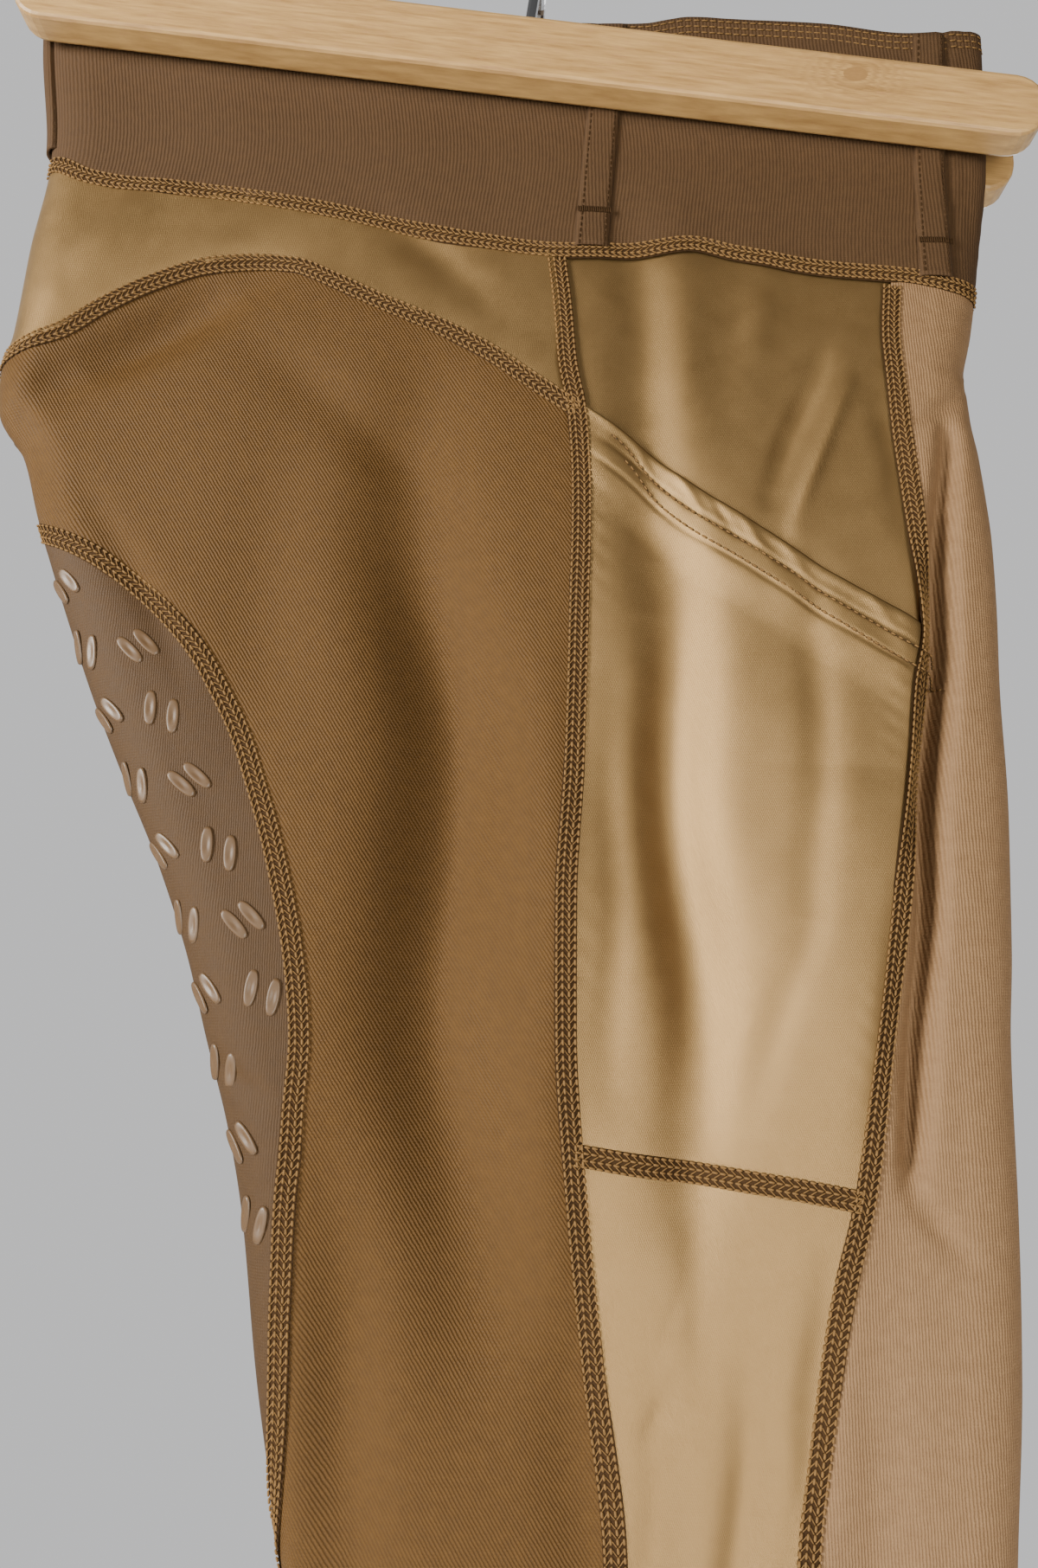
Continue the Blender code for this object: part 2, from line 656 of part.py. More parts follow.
def across_centre(name, near_rows, far_rows, wall, finish, group, closed):
    """A piece that runs from the near half to the far half round a fold."""
    near = inset_ends(np.array(near_rows, float))
    far = inset_ends(np.array(far_rows, float))
    outer, inner = [], []
    for near_row, far_row in zip(near, far):
        outer_row, inner_row = [], []
        for side, row in ((NEAR, near_row), (FAR, far_row)):
            for q, z in row:
                point, normal = cloth_point(q, z, side), cloth_normal(q, z, side)
                if abs(point[1]) < 1e-6:
                    normal = np.array([math.copysign(1.0, point[0]), 0.0, 0.0])
                outer_row.append(point)
                inner_row.append(point - normal * wall)
        outer.append(outer_row)
        inner.append(inner_row)
    return cloth_solid(name, outer, inner, finish, group, closed=closed)


def trim_ends(rows, amount):
    """Draws both ends of each row in, by millimetres of cloth, for the gap at the side seams."""
    return [[(q - amount if j == 0 else q, z) for j, (q, z) in enumerate(row)] for row in rows]


def back_yoke(finish, group):
    """The yoke runs round the centre back, from one side seam to the other."""
    halves = []
    for side in (NEAR, FAR):
        bottom = yoke_seam_row(side)
        waist = cloth_q(on_seam(BACK_SIDE_SEAM, SIDE_WAIST_Z), SIDE_WAIST_Z, side)
        scale = waist / bottom[0][0]
        top = [(q * scale, seam_at(WAIST_SEAM, q * scale, -140.0, side)) for q, _ in bottom]
        rows = [
            [(a[0] * (1 - t) + b[0] * t, a[1] * (1 - t) + b[1] * t) for a, b in zip(top, bottom)]
            for t in np.linspace(0, 1, 5)
        ]
        halves.append(trim_ends(rows, SEAM_INSET))
    near, far = halves
    far = [row[:-1][::-1] for row in far]
    return across_centre("back_yoke", near, far, COATED_WALL, finish, group, False)


def waistband(finish, group):
    """A ring of ribbed elastic, from the waist seam to the top edge."""
    columns = 38
    halves = []
    for side in (NEAR, FAR):
        rows = []
        for t in BAND_RISE[::-1]:
            row = []
            for s in np.linspace(0, 1, columns + 1):
                z = -110.0
                for _ in range(12):
                    q = s * cloth_across(z, side)
                    x = cloth_point(q, z, side)[0]
                    z = smooth_lookup(WAIST_SEAM, x) * (1 - t) + smooth_lookup(WAIST_TOP, x) * t
                row.append((s * cloth_across(z, side), z))
            rows.append(row)
        halves.append(rows)
    near = [row[::-1] for row in halves[0]]
    far = [row[1:-1] for row in halves[1]]
    return across_centre("waistband", near, far, BAND_WALL, finish, group, True)


def belt_loop(name, x_bottom, x_top, side, finish, group):
    """A strap that lies on the band from its lower seam to its top edge."""
    rows = []
    for t in LOOP_RISE[::-1]:
        centre = x_bottom + (x_top - x_bottom) * t
        row = []
        for offset in (-0.5, 0.0, 0.5):
            x = centre + offset * LOOP_WIDTH
            low, high = smooth_lookup(WAIST_SEAM, x), smooth_lookup(WAIST_TOP, x)
            z = low + (high - low) * t
            q = cloth_q(x, z, side)
            row.append(cloth_point(q, z, side) + cloth_normal(q, z, side) * LAYER_GAP)
        rows.append(row)
    outer = []
    for i, row in enumerate(rows):
        z_row = [point[2] for point in row]
        outer.append(
            [
                point + cloth_normal(cloth_q(point[0], z, side), z, side) * LOOP_WALL
                for point, z in zip(row, z_row)
            ]
        )
    return cloth_solid(name, outer, rows, finish, group)


def back_belt_loop(finish, group):
    """The centre-back loop is folded in two with the band, so it wraps the back fold."""
    half = [9.0, 6.0, 3.0, 0.0]
    outer, inner = [], []
    for t in np.linspace(1, 0, 8):
        z = -122.0 + 88.0 * t
        outer_row, inner_row = [], []
        for side, reaches in ((NEAR, half), (FAR, half[:-1][::-1])):
            for q in reaches:
                point, normal = cloth_point(q, z, side), cloth_normal(q, z, side)
                if q == 0.0:
                    normal = np.array([-1.0, 0.0, 0.0])
                inner_row.append(point + normal * LAYER_GAP)
                outer_row.append(point + normal * (LAYER_GAP + LOOP_WALL))
        outer.append(outer_row)
        inner.append(inner_row)
    return cloth_solid("belt_loop_back", outer, inner, finish, group)


def hanger_matrix():
    """The hanger's own frame, tipped about the hook's crown."""
    return Matrix.Rotation(TILT, 4, "Y")


def clamp_bar(name, side, finish, group):
    """A wooden bar with round ends and eased edges, lying against the band."""
    bpy.ops.mesh.primitive_cube_add(size=1.0)
    bar = bpy.context.active_object
    bar.name = name
    bar.data.name = name
    for old in list(bar.users_collection):
        old.objects.unlink(bar)
    group.objects.link(bar)
    bar.data.transform(Matrix.Diagonal((BAR_LENGTH * MM, BAR_DEPTH * MM, BAR_HEIGHT * MM, 1.0)))
    bar.data.materials.append(finish)
    ends = bar.data.attributes.new("bevel_weight_edge", "FLOAT", "EDGE")
    for edge in bar.data.edges:
        a, b = (bar.data.vertices[v].co for v in edge.vertices)
        across = abs(a.y - b.y) > BAR_DEPTH * MM / 2
        ends.data[edge.index].value = 1.0 if across else 0.0
    rounding = bar.modifiers.new("round_ends", "BEVEL")
    rounding.limit_method = "WEIGHT"
    rounding.width = BAR_END_RADIUS * MM
    rounding.segments = 6
    easing = bar.modifiers.new("eased_edges", "BEVEL")
    easing.limit_method = "ANGLE"
    easing.angle_limit = math.radians(60)
    easing.width = BAR_EDGE * MM
    easing.segments = 2
    place = Matrix.Translation((0.0, side * (BAR_INNER + BAR_DEPTH / 2) * MM, -BAR_DROP * MM))
    bar.matrix_world = hanger_matrix() @ place
    return bar


def wire(name, route, radius, finish, group):
    """A bent steel wire along a smooth route in the hanger's own frame, in millimetres."""
    curve = bpy.data.curves.new(name, "CURVE")
    curve.dimensions = "3D"
    curve.bevel_depth = radius * MM
    curve.bevel_resolution = 3
    curve.use_fill_caps = True
    spline = curve.splines.new("POLY")
    spline.points.add(len(route) - 1)
    for point, (x, y, z) in zip(spline.points, route):
        point.co = (x * MM, y * MM, z * MM, 1.0)
    curve.materials.append(finish)
    made = bpy.data.objects.new(name, curve)
    made.matrix_world = hanger_matrix()
    group.objects.link(made)
    return made


def hook_route():
    """Up the stem, out to the side and over the crown to the tip."""
    centre_z = -(HOOK_RADIUS - WIRE_RADIUS)
    stem_foot = -BAR_DROP + BAR_HEIGHT / 2 + YOKE_RISE + YOKE_RADIUS + LAYER_GAP
    route = [(0.0, 0.0, stem_foot)]
    start_angle = math.radians(-35)
    join = (HOOK_RADIUS * math.cos(start_angle), centre_z + HOOK_RADIUS * math.sin(start_angle))
    for t in np.linspace(0.25, 1.0, 6, endpoint=False):
        ease = t * t * (3 - 2 * t)
        route.append((join[0] * ease**1.2, 0.0, stem_foot + (join[1] - stem_foot) * t))
    for angle in np.linspace(-35, 205, 25):
        turn = math.radians(angle)
        route.append((HOOK_RADIUS * math.cos(turn), 0.0, centre_z + HOOK_RADIUS * math.sin(turn)))
    return route


def yoke_route():
    """A wire staple that stands on both bars and bridges the band between them."""
    foot = -BAR_DROP + BAR_HEIGHT / 2 + LAYER_GAP
    reach = BAR_INNER + BAR_DEPTH / 2
    corner = 7.0
    top = foot + YOKE_RISE - LAYER_GAP
    route = [(0.0, -reach, foot), (0.0, -reach, top - corner)]
    for side, angles in ((-1, np.linspace(180, 90, 6)), (1, np.linspace(90, 0, 6))):
        for angle in angles:
            turn = math.radians(angle)
            y = side * (reach - corner) + corner * math.cos(turn)
            z = top - corner + corner * math.sin(turn)
            route.append((0.0, y, z))
    route += [(0.0, reach, top - corner), (0.0, reach, foot)]
    return [p for i, p in enumerate(route) if i == 0 or math.dist(p, route[i - 1]) > 0.01]


def main():
    for old in list(bpy.data.objects):
        bpy.data.objects.remove(old)
    group = bpy.data.collections.new("riding_tights_on_hanger")
    bpy.context.scene.collection.children.link(group)

    ribbed = material("ribbed_band", (0.165, 0.098, 0.045), 0.85)
    coated = material("coated_panel", (0.33, 0.205, 0.088), 0.38, coat=0.15)
    twill = material("twill_jersey", (0.185, 0.112, 0.047), 0.72)
    knit = material("ribbed_knit", (0.255, 0.160, 0.092), 0.8)
    grip = material("grip_jersey", (0.185, 0.115, 0.060), 0.75)
    wood = material("pale_wood", (0.66, 0.47, 0.27), 0.5)
    steel = material("hook_steel", (0.62, 0.62, 0.63), 0.25, metallic=1.0)

    waistband(ribbed, group)
    back_yoke(coated, group)
    for side, label in ((NEAR, "near"), (FAR, "far")):
        back_leg_panel(side, label, twill, group)
        grip_patch(side, label, grip, group)
        front_leg_panel(side, label, knit, group)
        side_panels(side, label, coated, group)
    for name, x_bottom, x_top, side in LOOPS:
        belt_loop(name, x_bottom, x_top, side, ribbed, group)
    back_belt_loop(ribbed, group)
    clamp_bar("clamp_bar_front", NEAR, wood, group)
    clamp_bar("clamp_bar_back", FAR, wood, group)
    wire("hanger_yoke", yoke_route(), YOKE_RADIUS, steel, group)
    wire("hanger_hook", hook_route(), WIRE_RADIUS, steel, group)


main()
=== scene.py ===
"""Looks of the riding tights on their clamp hanger: cloth shells, flatlock seams, finishes and light.

Sizes are in millimetres and turned into metres where a mesh is made. A place on the cloth is (q, z):
q runs round the garment from the back fold, plus on the outer face and minus on the inner one.
"""

import math

import bpy
import numpy as np
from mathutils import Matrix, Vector


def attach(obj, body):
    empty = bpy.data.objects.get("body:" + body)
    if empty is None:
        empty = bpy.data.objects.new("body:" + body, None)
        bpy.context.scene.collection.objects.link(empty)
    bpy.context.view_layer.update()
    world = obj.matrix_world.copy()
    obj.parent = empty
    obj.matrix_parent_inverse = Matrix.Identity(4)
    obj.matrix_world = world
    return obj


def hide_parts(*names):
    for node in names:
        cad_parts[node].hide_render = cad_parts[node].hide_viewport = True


MM = 0.001
NEAR = -1
FAR = 1
SIDES = ((NEAR, "near"), (FAR, "far"))

# Where the photo was taken from, and how far the camera looks up.
SIGHT_X = -15.0
SIGHT_Z = -427.0
SIGHT_DISTANCE = 367.0
SIGHT_UP = math.radians(11.7)
SIGHT_LENS = 27.02

# The clamp, as in the part's source.
TILT = math.radians(8.0)
BAR_DROP = 94.0

# How the flattened cloth turns at its folds, and where the legs part.
FOLD_REACH = 18.0
FOLD_CLOTH = 23.0
BACK_NOTCH_Z = -232.0
FRONT_NOTCH_Z = -211.0
PARTING_SPAN = 60.0
LEAST_TURN = 1.0
CENTRE_GAP = 0.4
ANKLE_Z = -1010.0

# Strength of the world's light in front of the garment and behind it.
WORLD_FRONT = 0.12
WORLD_BEHIND = 0.75

# The knot on the front bar: its place, then in metres its ring pitch, core and reach.
KNOT_X = 101.0
KNOT_Z = -105.2
RING_PITCH = 0.0034
KNOT_CORE = 0.0042
KNOT_REACH = 0.026

# Cloth and stitches.
SHELL = 1.1
BAND_SHELL = 2.2
LAYER_STEP = 1.1
SEAM_WIDTH = 6.6
SEAM_RISE = 0.35
STITCH_PITCH = 2.25
STITCH_ROWS = (-2.7, -0.95, 0.95, 2.7)
LOOP_WIDTH = 12.0

# The pocket's hem, with its two rows of stitches and the gathers that they pull.
HEM_RISE = 1.5
HEM_DEPTH = 17.5
STITCH_DROP = 4.2
MOUTH_PITCH = 2.6
MOUTH_ROWS = (8.3, 16.8)
MOUTH_GATHERS_COLUMNS = ("x", "width", "height")
MOUTH_GATHERS = [
    (24, 3.0, 0.7), (40, 2.6, 1.1), (49, 2.2, -0.8), (58, 2.8, 0.9), (71, 3.2, 0.6), (97, 3.0, 0.5),
]

# Pills of the grip print: length, width and height, their pitches, and how far they tip.
PILL_SIZE = (11.0, 3.8, 0.45)
PILL_ROW_PITCH = 21.0
PILL_COLUMN_PITCH = 17.0
PILL_TIP = math.radians(24)

# Shape of the flattened garment: its two folds at each height, and how far a face stands out.
OUTLINE_COLUMNS = ("z", "back", "front")
OUTLINE = [
    (-20, -190, 156), (-78, -187, 154), (-125, -182, 152), (-163, -186, 146), (-197, -188, 140),
    (-213, -191, 137), (-226, -190, 138), (-241, -181, 140), (-262, -175, 141.5), (-291, -165, 141.5),
    (-321, -153.5, 140.5), (-349, -141, 140), (-377, -128, 139), (-404, -118, 137), (-430, -110.5, 134.5),
    (-456, -102.5, 133.5), (-480, -97, 132.5), (-528, -90, 129.5), (-572, -82, 124.5), (-640, -68, 117),
    (-700, -60, 110), (-780, -54, 103), (-860, -45, 92), (-940, -36, 79), (-1010, -31, 69),
]
SWELL_COLUMNS = ("above_clamp", "out")
SWELL = [
    (60, 7.5), (16, 5.0), (-16, 5.0), (-38, 6.8), (-62, 9.3), (-95, 13.5), (-130, 17.0), (-175, 20.0),
    (-260, 21.5), (-400, 21.0), (-560, 20.0), (-760, 18.0), (-930, 15.0),
]

# Seams in the garment's middle plane, as the camera sees them. The first kind runs along X.
WAIST_SEAM = [
    (-195, -134), (-182, -128.5), (-168, -130.5), (-153, -133.5), (-122, -137), (-91, -142), (-61, -149),
    (-30, -156), (0, -160), (31, -159), (46, -158), (61, -161), (91, -167), (121, -170), (136, -174),
    (160, -181),
]
WAIST_TOP = [
    (-195, -28), (-150, -37), (-100, -47), (-61, -56), (-15, -64), (30, -65), (48, -62), (65, -63),
    (97, -65), (128, -69), (160, -72),
]
YOKE_SEAM = [
    (-195, -209), (-190, -207), (-176, -193), (-159, -181), (-142, -172), (-124, -165.5), (-106, -163.5),
    (-94, -165), (-81, -171), (-63, -180), (-45, -188), (-27, -198), (-12, -209), (2, -219), (8, -223),
]
POCKET_MOUTH = [
    (-4, -209), (9, -220.5), (26, -234), (44, -249), (66, -264.5), (88, -280), (105, -290.5), (120, -298.5),
]
POCKET_FLOOR = [(-6, -463), (6, -465), (27, -468.5), (50, -471.5), (70, -474.5), (88, -478), (96, -480)]
CROTCH_SEAM = [
    (-190, -236), (-181, -240), (-165, -252), (-145, -264), (-110, -284), (-60, -300), (0, -291),
    (60, -266), (110, -236), (128, -222), (140, -213),
]
# The second kind runs down Z.
BACK_SIDE_SEAM = [
    (-140, -3), (-160, -2), (-180, 0), (-203, 1.7), (-223, 5), (-248, 6), (-297, 4.6), (-344, 2.7),
    (-388, -0.4), (-430, -0.8), (-470, 1.5), (-528, 7), (-572, 12), (-700, 14), (-860, 14), (-1010, 12),
]
FRONT_SIDE_SEAM = [
    (-150, 116), (-173, 115), (-197, 113.4), (-220, 114.6), (-248, 116.8), (-276, 118.4), (-297, 119),
    (-318, 115.4), (-344, 111.5), (-388, 104.1), (-430, 96.6), (-475, 88), (-504, 80), (-550, 71),
    (-572, 67), (-700, 54), (-860, 43), (-1010, 34),
]
INSEAM = [(-290, -62), (-300, -60), (-380, -30), (-450, -10), (-606, 10), (-800, 18), (-1010, 16)]

# Edge of the back leg panel: height on the side seam, cloth from the back fold, height at that edge.
BACK_EDGE_COLUMNS = ("side_z", "q", "z")
BACK_EDGE = [
    (-231, 0, -207), (-245, 0, -226), (-252, 0, -234), (-259, -14, -250), (-265, -26, -256),
    (-270, -14, -264.5), (-276, 0, -269.5), (-283, 14, -275.5), (-291, 26, -285), (-303, 39, -301),
    (-318, 46, -318), (-338, 48, -338), (-358, 46, -358), (-380, 42.5, -380), (-404, 39, -404),
    (-428, 35, -428), (-452, 26.5, -452), (-476, 20, -476), (-500, 16.5, -500), (-526, 13, -526),
    (-550, 7, -550), (-575, -5, -575), (-606, -22, -606), (-640, -40, -640), (-665, -58, -665),
    (-690, -79, -690), (-750, -73, -750), (-820, -69, -820), (-890, -61, -890), (-955, -54, -955),
    (-1010, -49, -1010),
]
PATCH_EDGE_FIRST = 4
PATCH_EDGE_LAST = 25

# Folds: a trough's two ends, half width, depth and side. A negative depth is a ridge.
FOLDS_COLUMNS = ("x0", "z0", "x1", "z1", "width", "depth", "side")
FOLDS = [
    (124, -240, 96, -462, 3.7, 12.5, NEAR),
    (-112, -182, -158, -216, 11, 8.0, NEAR),
    (-45, -252, -33, -490, 17, 16.5, NEAR),
    (32, -282, 36, -464, 11, 10.5, NEAR),
    (24, -236, 27, -300, 9, 2.5, NEAR),
    (22, -160, 27, -236, 8, 2.4, NEAR),
    (47, -526, 41, -596, 6, 3.0, NEAR),
    (126, -250, 114, -440, 7, 8.0, FAR),
    (-120, -182, -172, -216, 14, 5.0, FAR),
    (-44, -245, -54, -470, 22, 5.0, FAR),
    (60, -270, 50, -430, 13, 4.0, FAR),
]
CREASES = [
    (104, -425, 95, -462, 3.5, 2.6, NEAR),
    (108, -487, 95, -472, 3.0, 2.2, NEAR),
    (135, -220, 118, -232, 3.5, 2.6, NEAR),
    (-186, -224, -170, -250, 5.0, 2.4, NEAR),
    (-176, -214, -188, -236, 6.0, -2.0, NEAR),
    (-6, -330, -4, -490, 10.0, -3.0, NEAR),
    (-88, -250, -98, -330, 15.0, 2.6, NEAR),
    (-66, -470, -58, -600, 12.0, 3.2, NEAR),
    (0, -480, 4, -620, 9.0, 2.2, NEAR),
    (-96, -212, -40, -262, 10.0, 2.2, NEAR),
    (80, -350, 76, -468, 22.0, -4.5, NEAR),
    (78, -296, 71, -396, 6.0, 2.0, NEAR),
    (70, -396, 52, -450, 5.0, 1.3, NEAR),
    (98, -390, 86, -452, 5.0, 1.6, NEAR),
    (14, -330, 12, -440, 5.0, 1.6, NEAR),
    (92, -222, 73, -270, 3.0, -2.8, NEAR),
    (84, -214, 66, -258, 3.6, 3.0, NEAR),
    (104, -226, 108, -270, 5.0, 1.6, NEAR),
    (39, -158, 43, -238, 9.0, -1.9, NEAR),
    (68, -178, 60, -214, 6.0, -1.4, NEAR),
    (-60, -156, -30, -186, 7.0, 1.6, NEAR),
    (-140, -146, -166, -180, 8.0, -2.0, NEAR),
    (30, -500, 24, -512, 1.8, 0.8, NEAR),
    (27, -522, 19, -536, 2.0, 0.9, NEAR),
    (35, -474, 33, -520, 5.0, 1.5, NEAR),
    (22, -526, 20, -604, 6.0, 2.2, NEAR),
    (69, -496, 64, -562, 6.0, 2.4, NEAR),
    (56, -560, 52, -640, 6.0, 1.8, NEAR),
    (-108, -432, -90, -447, 3.0, 1.8, NEAR),
    (-150, -262, -120, -318, 5.0, 1.5, NEAR),
    (139, -70, 134, -166, 1.8, 1.5, NEAR),
    (146, -70, 141, -170, 1.6, 1.2, NEAR),
    (-70, -480, -58, -575, 10.0, 1.8, NEAR),
    (86, -500, 74, -600, 9.0, 2.0, NEAR),
    (20, -600, 16, -760, 14.0, 1.8, NEAR),
    (60, -640, 50, -820, 12.0, 2.2, NEAR),
    (-30, -680, -22, -860, 12.0, 2.0, NEAR),
    (110, -480, 92, -620, 8.0, 1.8, FAR),
    (-60, -300, -30, -440, 10.0, 1.8, FAR),
    (30, -500, 20, -540, 3.5, 1.4, FAR),
    (92, -222, 70, -266, 4.0, -1.4, FAR),
    (-20, -640, -14, -820, 13.0, 2.2, FAR),
    (58, -660, 46, -860, 12.0, 2.0, FAR),
    (-178, -216, -188, -238, 6.0, -2.0, FAR),
]

# Belt loops: name of the node, centre at the band's bottom and top, and side.
LOOPS = [
    ("belt_loop_side_near", 9.5, 18.5, NEAR),
    ("belt_loop_front_near", 127.0, 133.0, NEAR),
    ("belt_loop_side_far", 9.5, 18.5, FAR),
    ("belt_loop_front_far", 127.0, 133.0, FAR),
]


class Curve:
    """A smooth monotone curve through the rows of a table."""

    def __init__(self, rows):
        rows = np.array(sorted((row[0], row[1]) for row in rows), float)
        self.at, self.value = rows[:, 0], rows[:, 1]
        steps = np.diff(self.value) / np.diff(self.at)
        before, after = steps[:-1], steps[1:]
        total = np.where(before * after > 0, before + after, 1.0)
        inner = np.where(before * after > 0, 2 * before * after / total, 0.0)
        self.slope = np.concatenate([steps[:1], inner, steps[-1:]])

    def __call__(self, at):
        at = np.asarray(at, float)
        i = np.clip(np.searchsorted(self.at, at) - 1, 0, len(self.at) - 2)
        span = self.at[i + 1] - self.at[i]
        t = np.clip((at - self.at[i]) / span, 0.0, 1.0)
        low = (2 * t**3 - 3 * t**2 + 1) * self.value[i] + (t**3 - 2 * t**2 + t) * span * self.slope[i]
        high = (3 * t**2 - 2 * t**3) * self.value[i + 1] + (t**3 - t**2) * span * self.slope[i + 1]
        return low + high


def smooth_step(low, high, at):
    t = np.clip((at - low) / (high - low), 0.0, 1.0)
    return t * t * (3 - 2 * t)


SWELL_CURVE = Curve(SWELL)


def half_thickness(x, z):
    clamp = -BAR_DROP * math.cos(TILT) - math.tan(TILT) * (x + BAR_DROP * math.sin(TILT))
    return SWELL_CURVE(z - clamp)


def drawn_in(x, z, out):
    """Where a place seen in the middle plane lies, on a face that stands out from that plane."""
    share = 1.0 - out / SIGHT_DISTANCE
    return SIGHT_X + (x - SIGHT_X) * share, SIGHT_Z + (z - SIGHT_Z) * share


def parting(z, at_front):
    notch = np.where(at_front, FRONT_NOTCH_Z, BACK_NOTCH_Z)
    return np.sqrt(np.clip((notch - z) / PARTING_SPAN, 0.0, 1.0))


def fold_curve(column):
    rows = []
    for row in OUTLINE:
        x, z = row[column], row[0]
        x, z = drawn_in(x, z, parting(z, column == 2) * half_thickness(x, z) / 2)
        rows.append((z, x))
    return Curve(rows)


BACK_FOLD = fold_curve(1)
FRONT_FOLD = fold_curve(2)


def face_out(x, z):
    """How far the outer face stands out at a place seen from the side."""
    back, front = BACK_FOLD(z), FRONT_FOLD(z)
    at_front = x > (back + front) / 2
    inset = np.clip(np.where(at_front, front - x, x - back), 0.0, FOLD_REACH)
    rounding = np.sqrt(1.0 - (1.0 - inset / FOLD_REACH) ** 2)
    out = half_thickness(x, z)
    offset = parting(z, at_front) * out / 2
    return offset + (out - offset) * rounding


def face_seam(rows):
    return Curve([drawn_in(x, z, face_out(x, z)) for x, z in rows])


def face_seam_down(rows):
    return Curve([drawn_in(x, z, face_out(x, z))[::-1] for z, x in rows])


WAIST = face_seam(WAIST_SEAM)
BAND_TOP = face_seam(WAIST_TOP)
YOKE = face_seam(YOKE_SEAM)
MOUTH = face_seam(POCKET_MOUTH)
FLOOR = face_seam(POCKET_FLOOR)
SIDE_BACK = face_seam_down(BACK_SIDE_SEAM)
SIDE_FRONT = face_seam_down(FRONT_SIDE_SEAM)
CROTCH = Curve(CROTCH_SEAM)
INNER_SEAM = Curve(INSEAM)


def folds_at(z, side):
    back, front = BACK_FOLD(z), FRONT_FOLD(z)
    if side == FAR:
        back = back - 3.0 * smooth_step(-245, -275, z) * smooth_step(-500, -430, z)
    return back, front


def across_at(z, side):
    back, front = folds_at(z, side)
    return 2 * FOLD_CLOTH + (front - back) - 2 * FOLD_REACH


def trough(x, z, side):
    """Depth of the folds and creases at a place of the outer face."""
    depth = np.zeros(np.shape(x))
    for x0, z0, x1, z1, width, deep, fold_side in FOLDS + CREASES:
        if fold_side != side:
            continue
        run = np.array([x1 - x0, z1 - z0], float)
        length = float(np.hypot(*run))
        wander = width * 0.22 * np.sin(z / (9.0 + width) + x0)
        along = ((x - x0) * run[0] + (z - z0) * run[1]) / length
        across = (run[0] * (z - z0) - run[1] * (x - x0)) / length + wander
        t = np.clip(along / length, 0.0, 1.0)
        off_end = along - t * length
        taper = np.sin(math.pi * (0.12 + 0.76 * t)) ** 0.8
        depth += deep * taper * np.exp(-(across**2) / width**2 - off_end**2 / (2 * width) ** 2)
    return depth


def fold_offset(z, side, at_front):
    back, front = folds_at(z, side)
    return parting(z, at_front) * half_thickness(np.where(at_front, front, back), z) / 2


def cloth(q, z, side):
    """Points of the garment's outer surface, in millimetres."""
    q, z = np.broadcast_arrays(np.asarray(q, float), np.asarray(z, float))
    back, front = folds_at(z, side)
    across = across_at(z, side)
    at_front = q > across / 2
    offset = fold_offset(z, side, at_front)
    fold = np.where(at_front, front, back)
    way = np.where(at_front, -1.0, 1.0)
    reach = np.clip(np.where(at_front, across - q, q), 0.0, None)
    angle = np.clip(reach / FOLD_CLOTH, 0.0, 1.0) * math.pi / 2
    inset = FOLD_REACH * (1 - np.cos(angle)) + np.clip(reach - FOLD_CLOTH, 0.0, None)
    x_out = fold + way * inset
    rounding = np.sin(angle)
    out = half_thickness(x_out, z) - trough(x_out, z, side) * rounding
    y_out = offset + (out - offset) * rounding
    run = np.where(at_front, q - across, -q)
    turn = np.maximum(LEAST_TURN, offset)
    angle = np.clip(run / (turn * math.pi / 2), 0.0, 1.0) * math.pi / 2
    inset = turn * (1 - np.cos(angle)) + np.clip(run - turn * math.pi / 2, 0.0, None)
    x_in = fold + way * inset
    y_in = np.maximum(CENTRE_GAP, offset + (CENTRE_GAP - offset) * np.sin(angle))
    inner = run > 0
    return np.stack([np.where(inner, x_in, x_out), side * np.where(inner, y_in, y_out), z], axis=-1)


def cloth_normal(q, z, side):
    along = cloth(q + 1.0, z, side) - cloth(q - 1.0, z, side)
    up = cloth(q, z + 1.0, side) - cloth(q, z - 1.0, side)
    normal = np.cross(along, up) * -side
    return normal / np.linalg.norm(normal, axis=-1, keepdims=True)


def outer_q(x, z, side):
    """Where a place of the outer face lies on the cloth."""
    back, front = folds_at(z, side)
    near_front = x > (back + front) / 2
    inset = np.clip(np.where(near_front, front - x, x - back), 0.0, None)
    turned = FOLD_CLOTH * np.arccos(np.clip(1 - inset / FOLD_REACH, -1.0, 1.0)) / (math.pi / 2)
    reach = np.where(inset < FOLD_REACH, turned, FOLD_CLOTH + inset - FOLD_REACH)
    return np.where(near_front, across_at(z, side) - reach, reach)


def inner_q(x, z, side, at_front):
    back, front = folds_at(z, side)
    turn = np.maximum(LEAST_TURN, fold_offset(z, side, at_front))
    run = turn * math.pi / 2 + np.abs((front if at_front else back) - x) - turn
    return across_at(z, side) + run if at_front else -run


def seam_height(curve, q, side, start=-180.0):
    """Height of a seam that runs along X, at each place q of the cloth."""
    z = np.full(np.shape(q), start)
    for _ in range(14):
        z = curve(cloth(q, z, side)[..., 0])
    return z


def stretch(rows, count):
    """Points spread evenly by length along a polyline of (q, z) rows, smoothed at its corners."""
    rows = np.array(rows, float)
    lengths = np.concatenate([[0.0], np.cumsum(np.linalg.norm(np.diff(rows, axis=0), axis=1))])
    even = np.linspace(0.0, lengths[-1], count)
    return np.stack([Curve(zip(lengths, rows[:, k]))(even) for k in (0, 1)], axis=1)


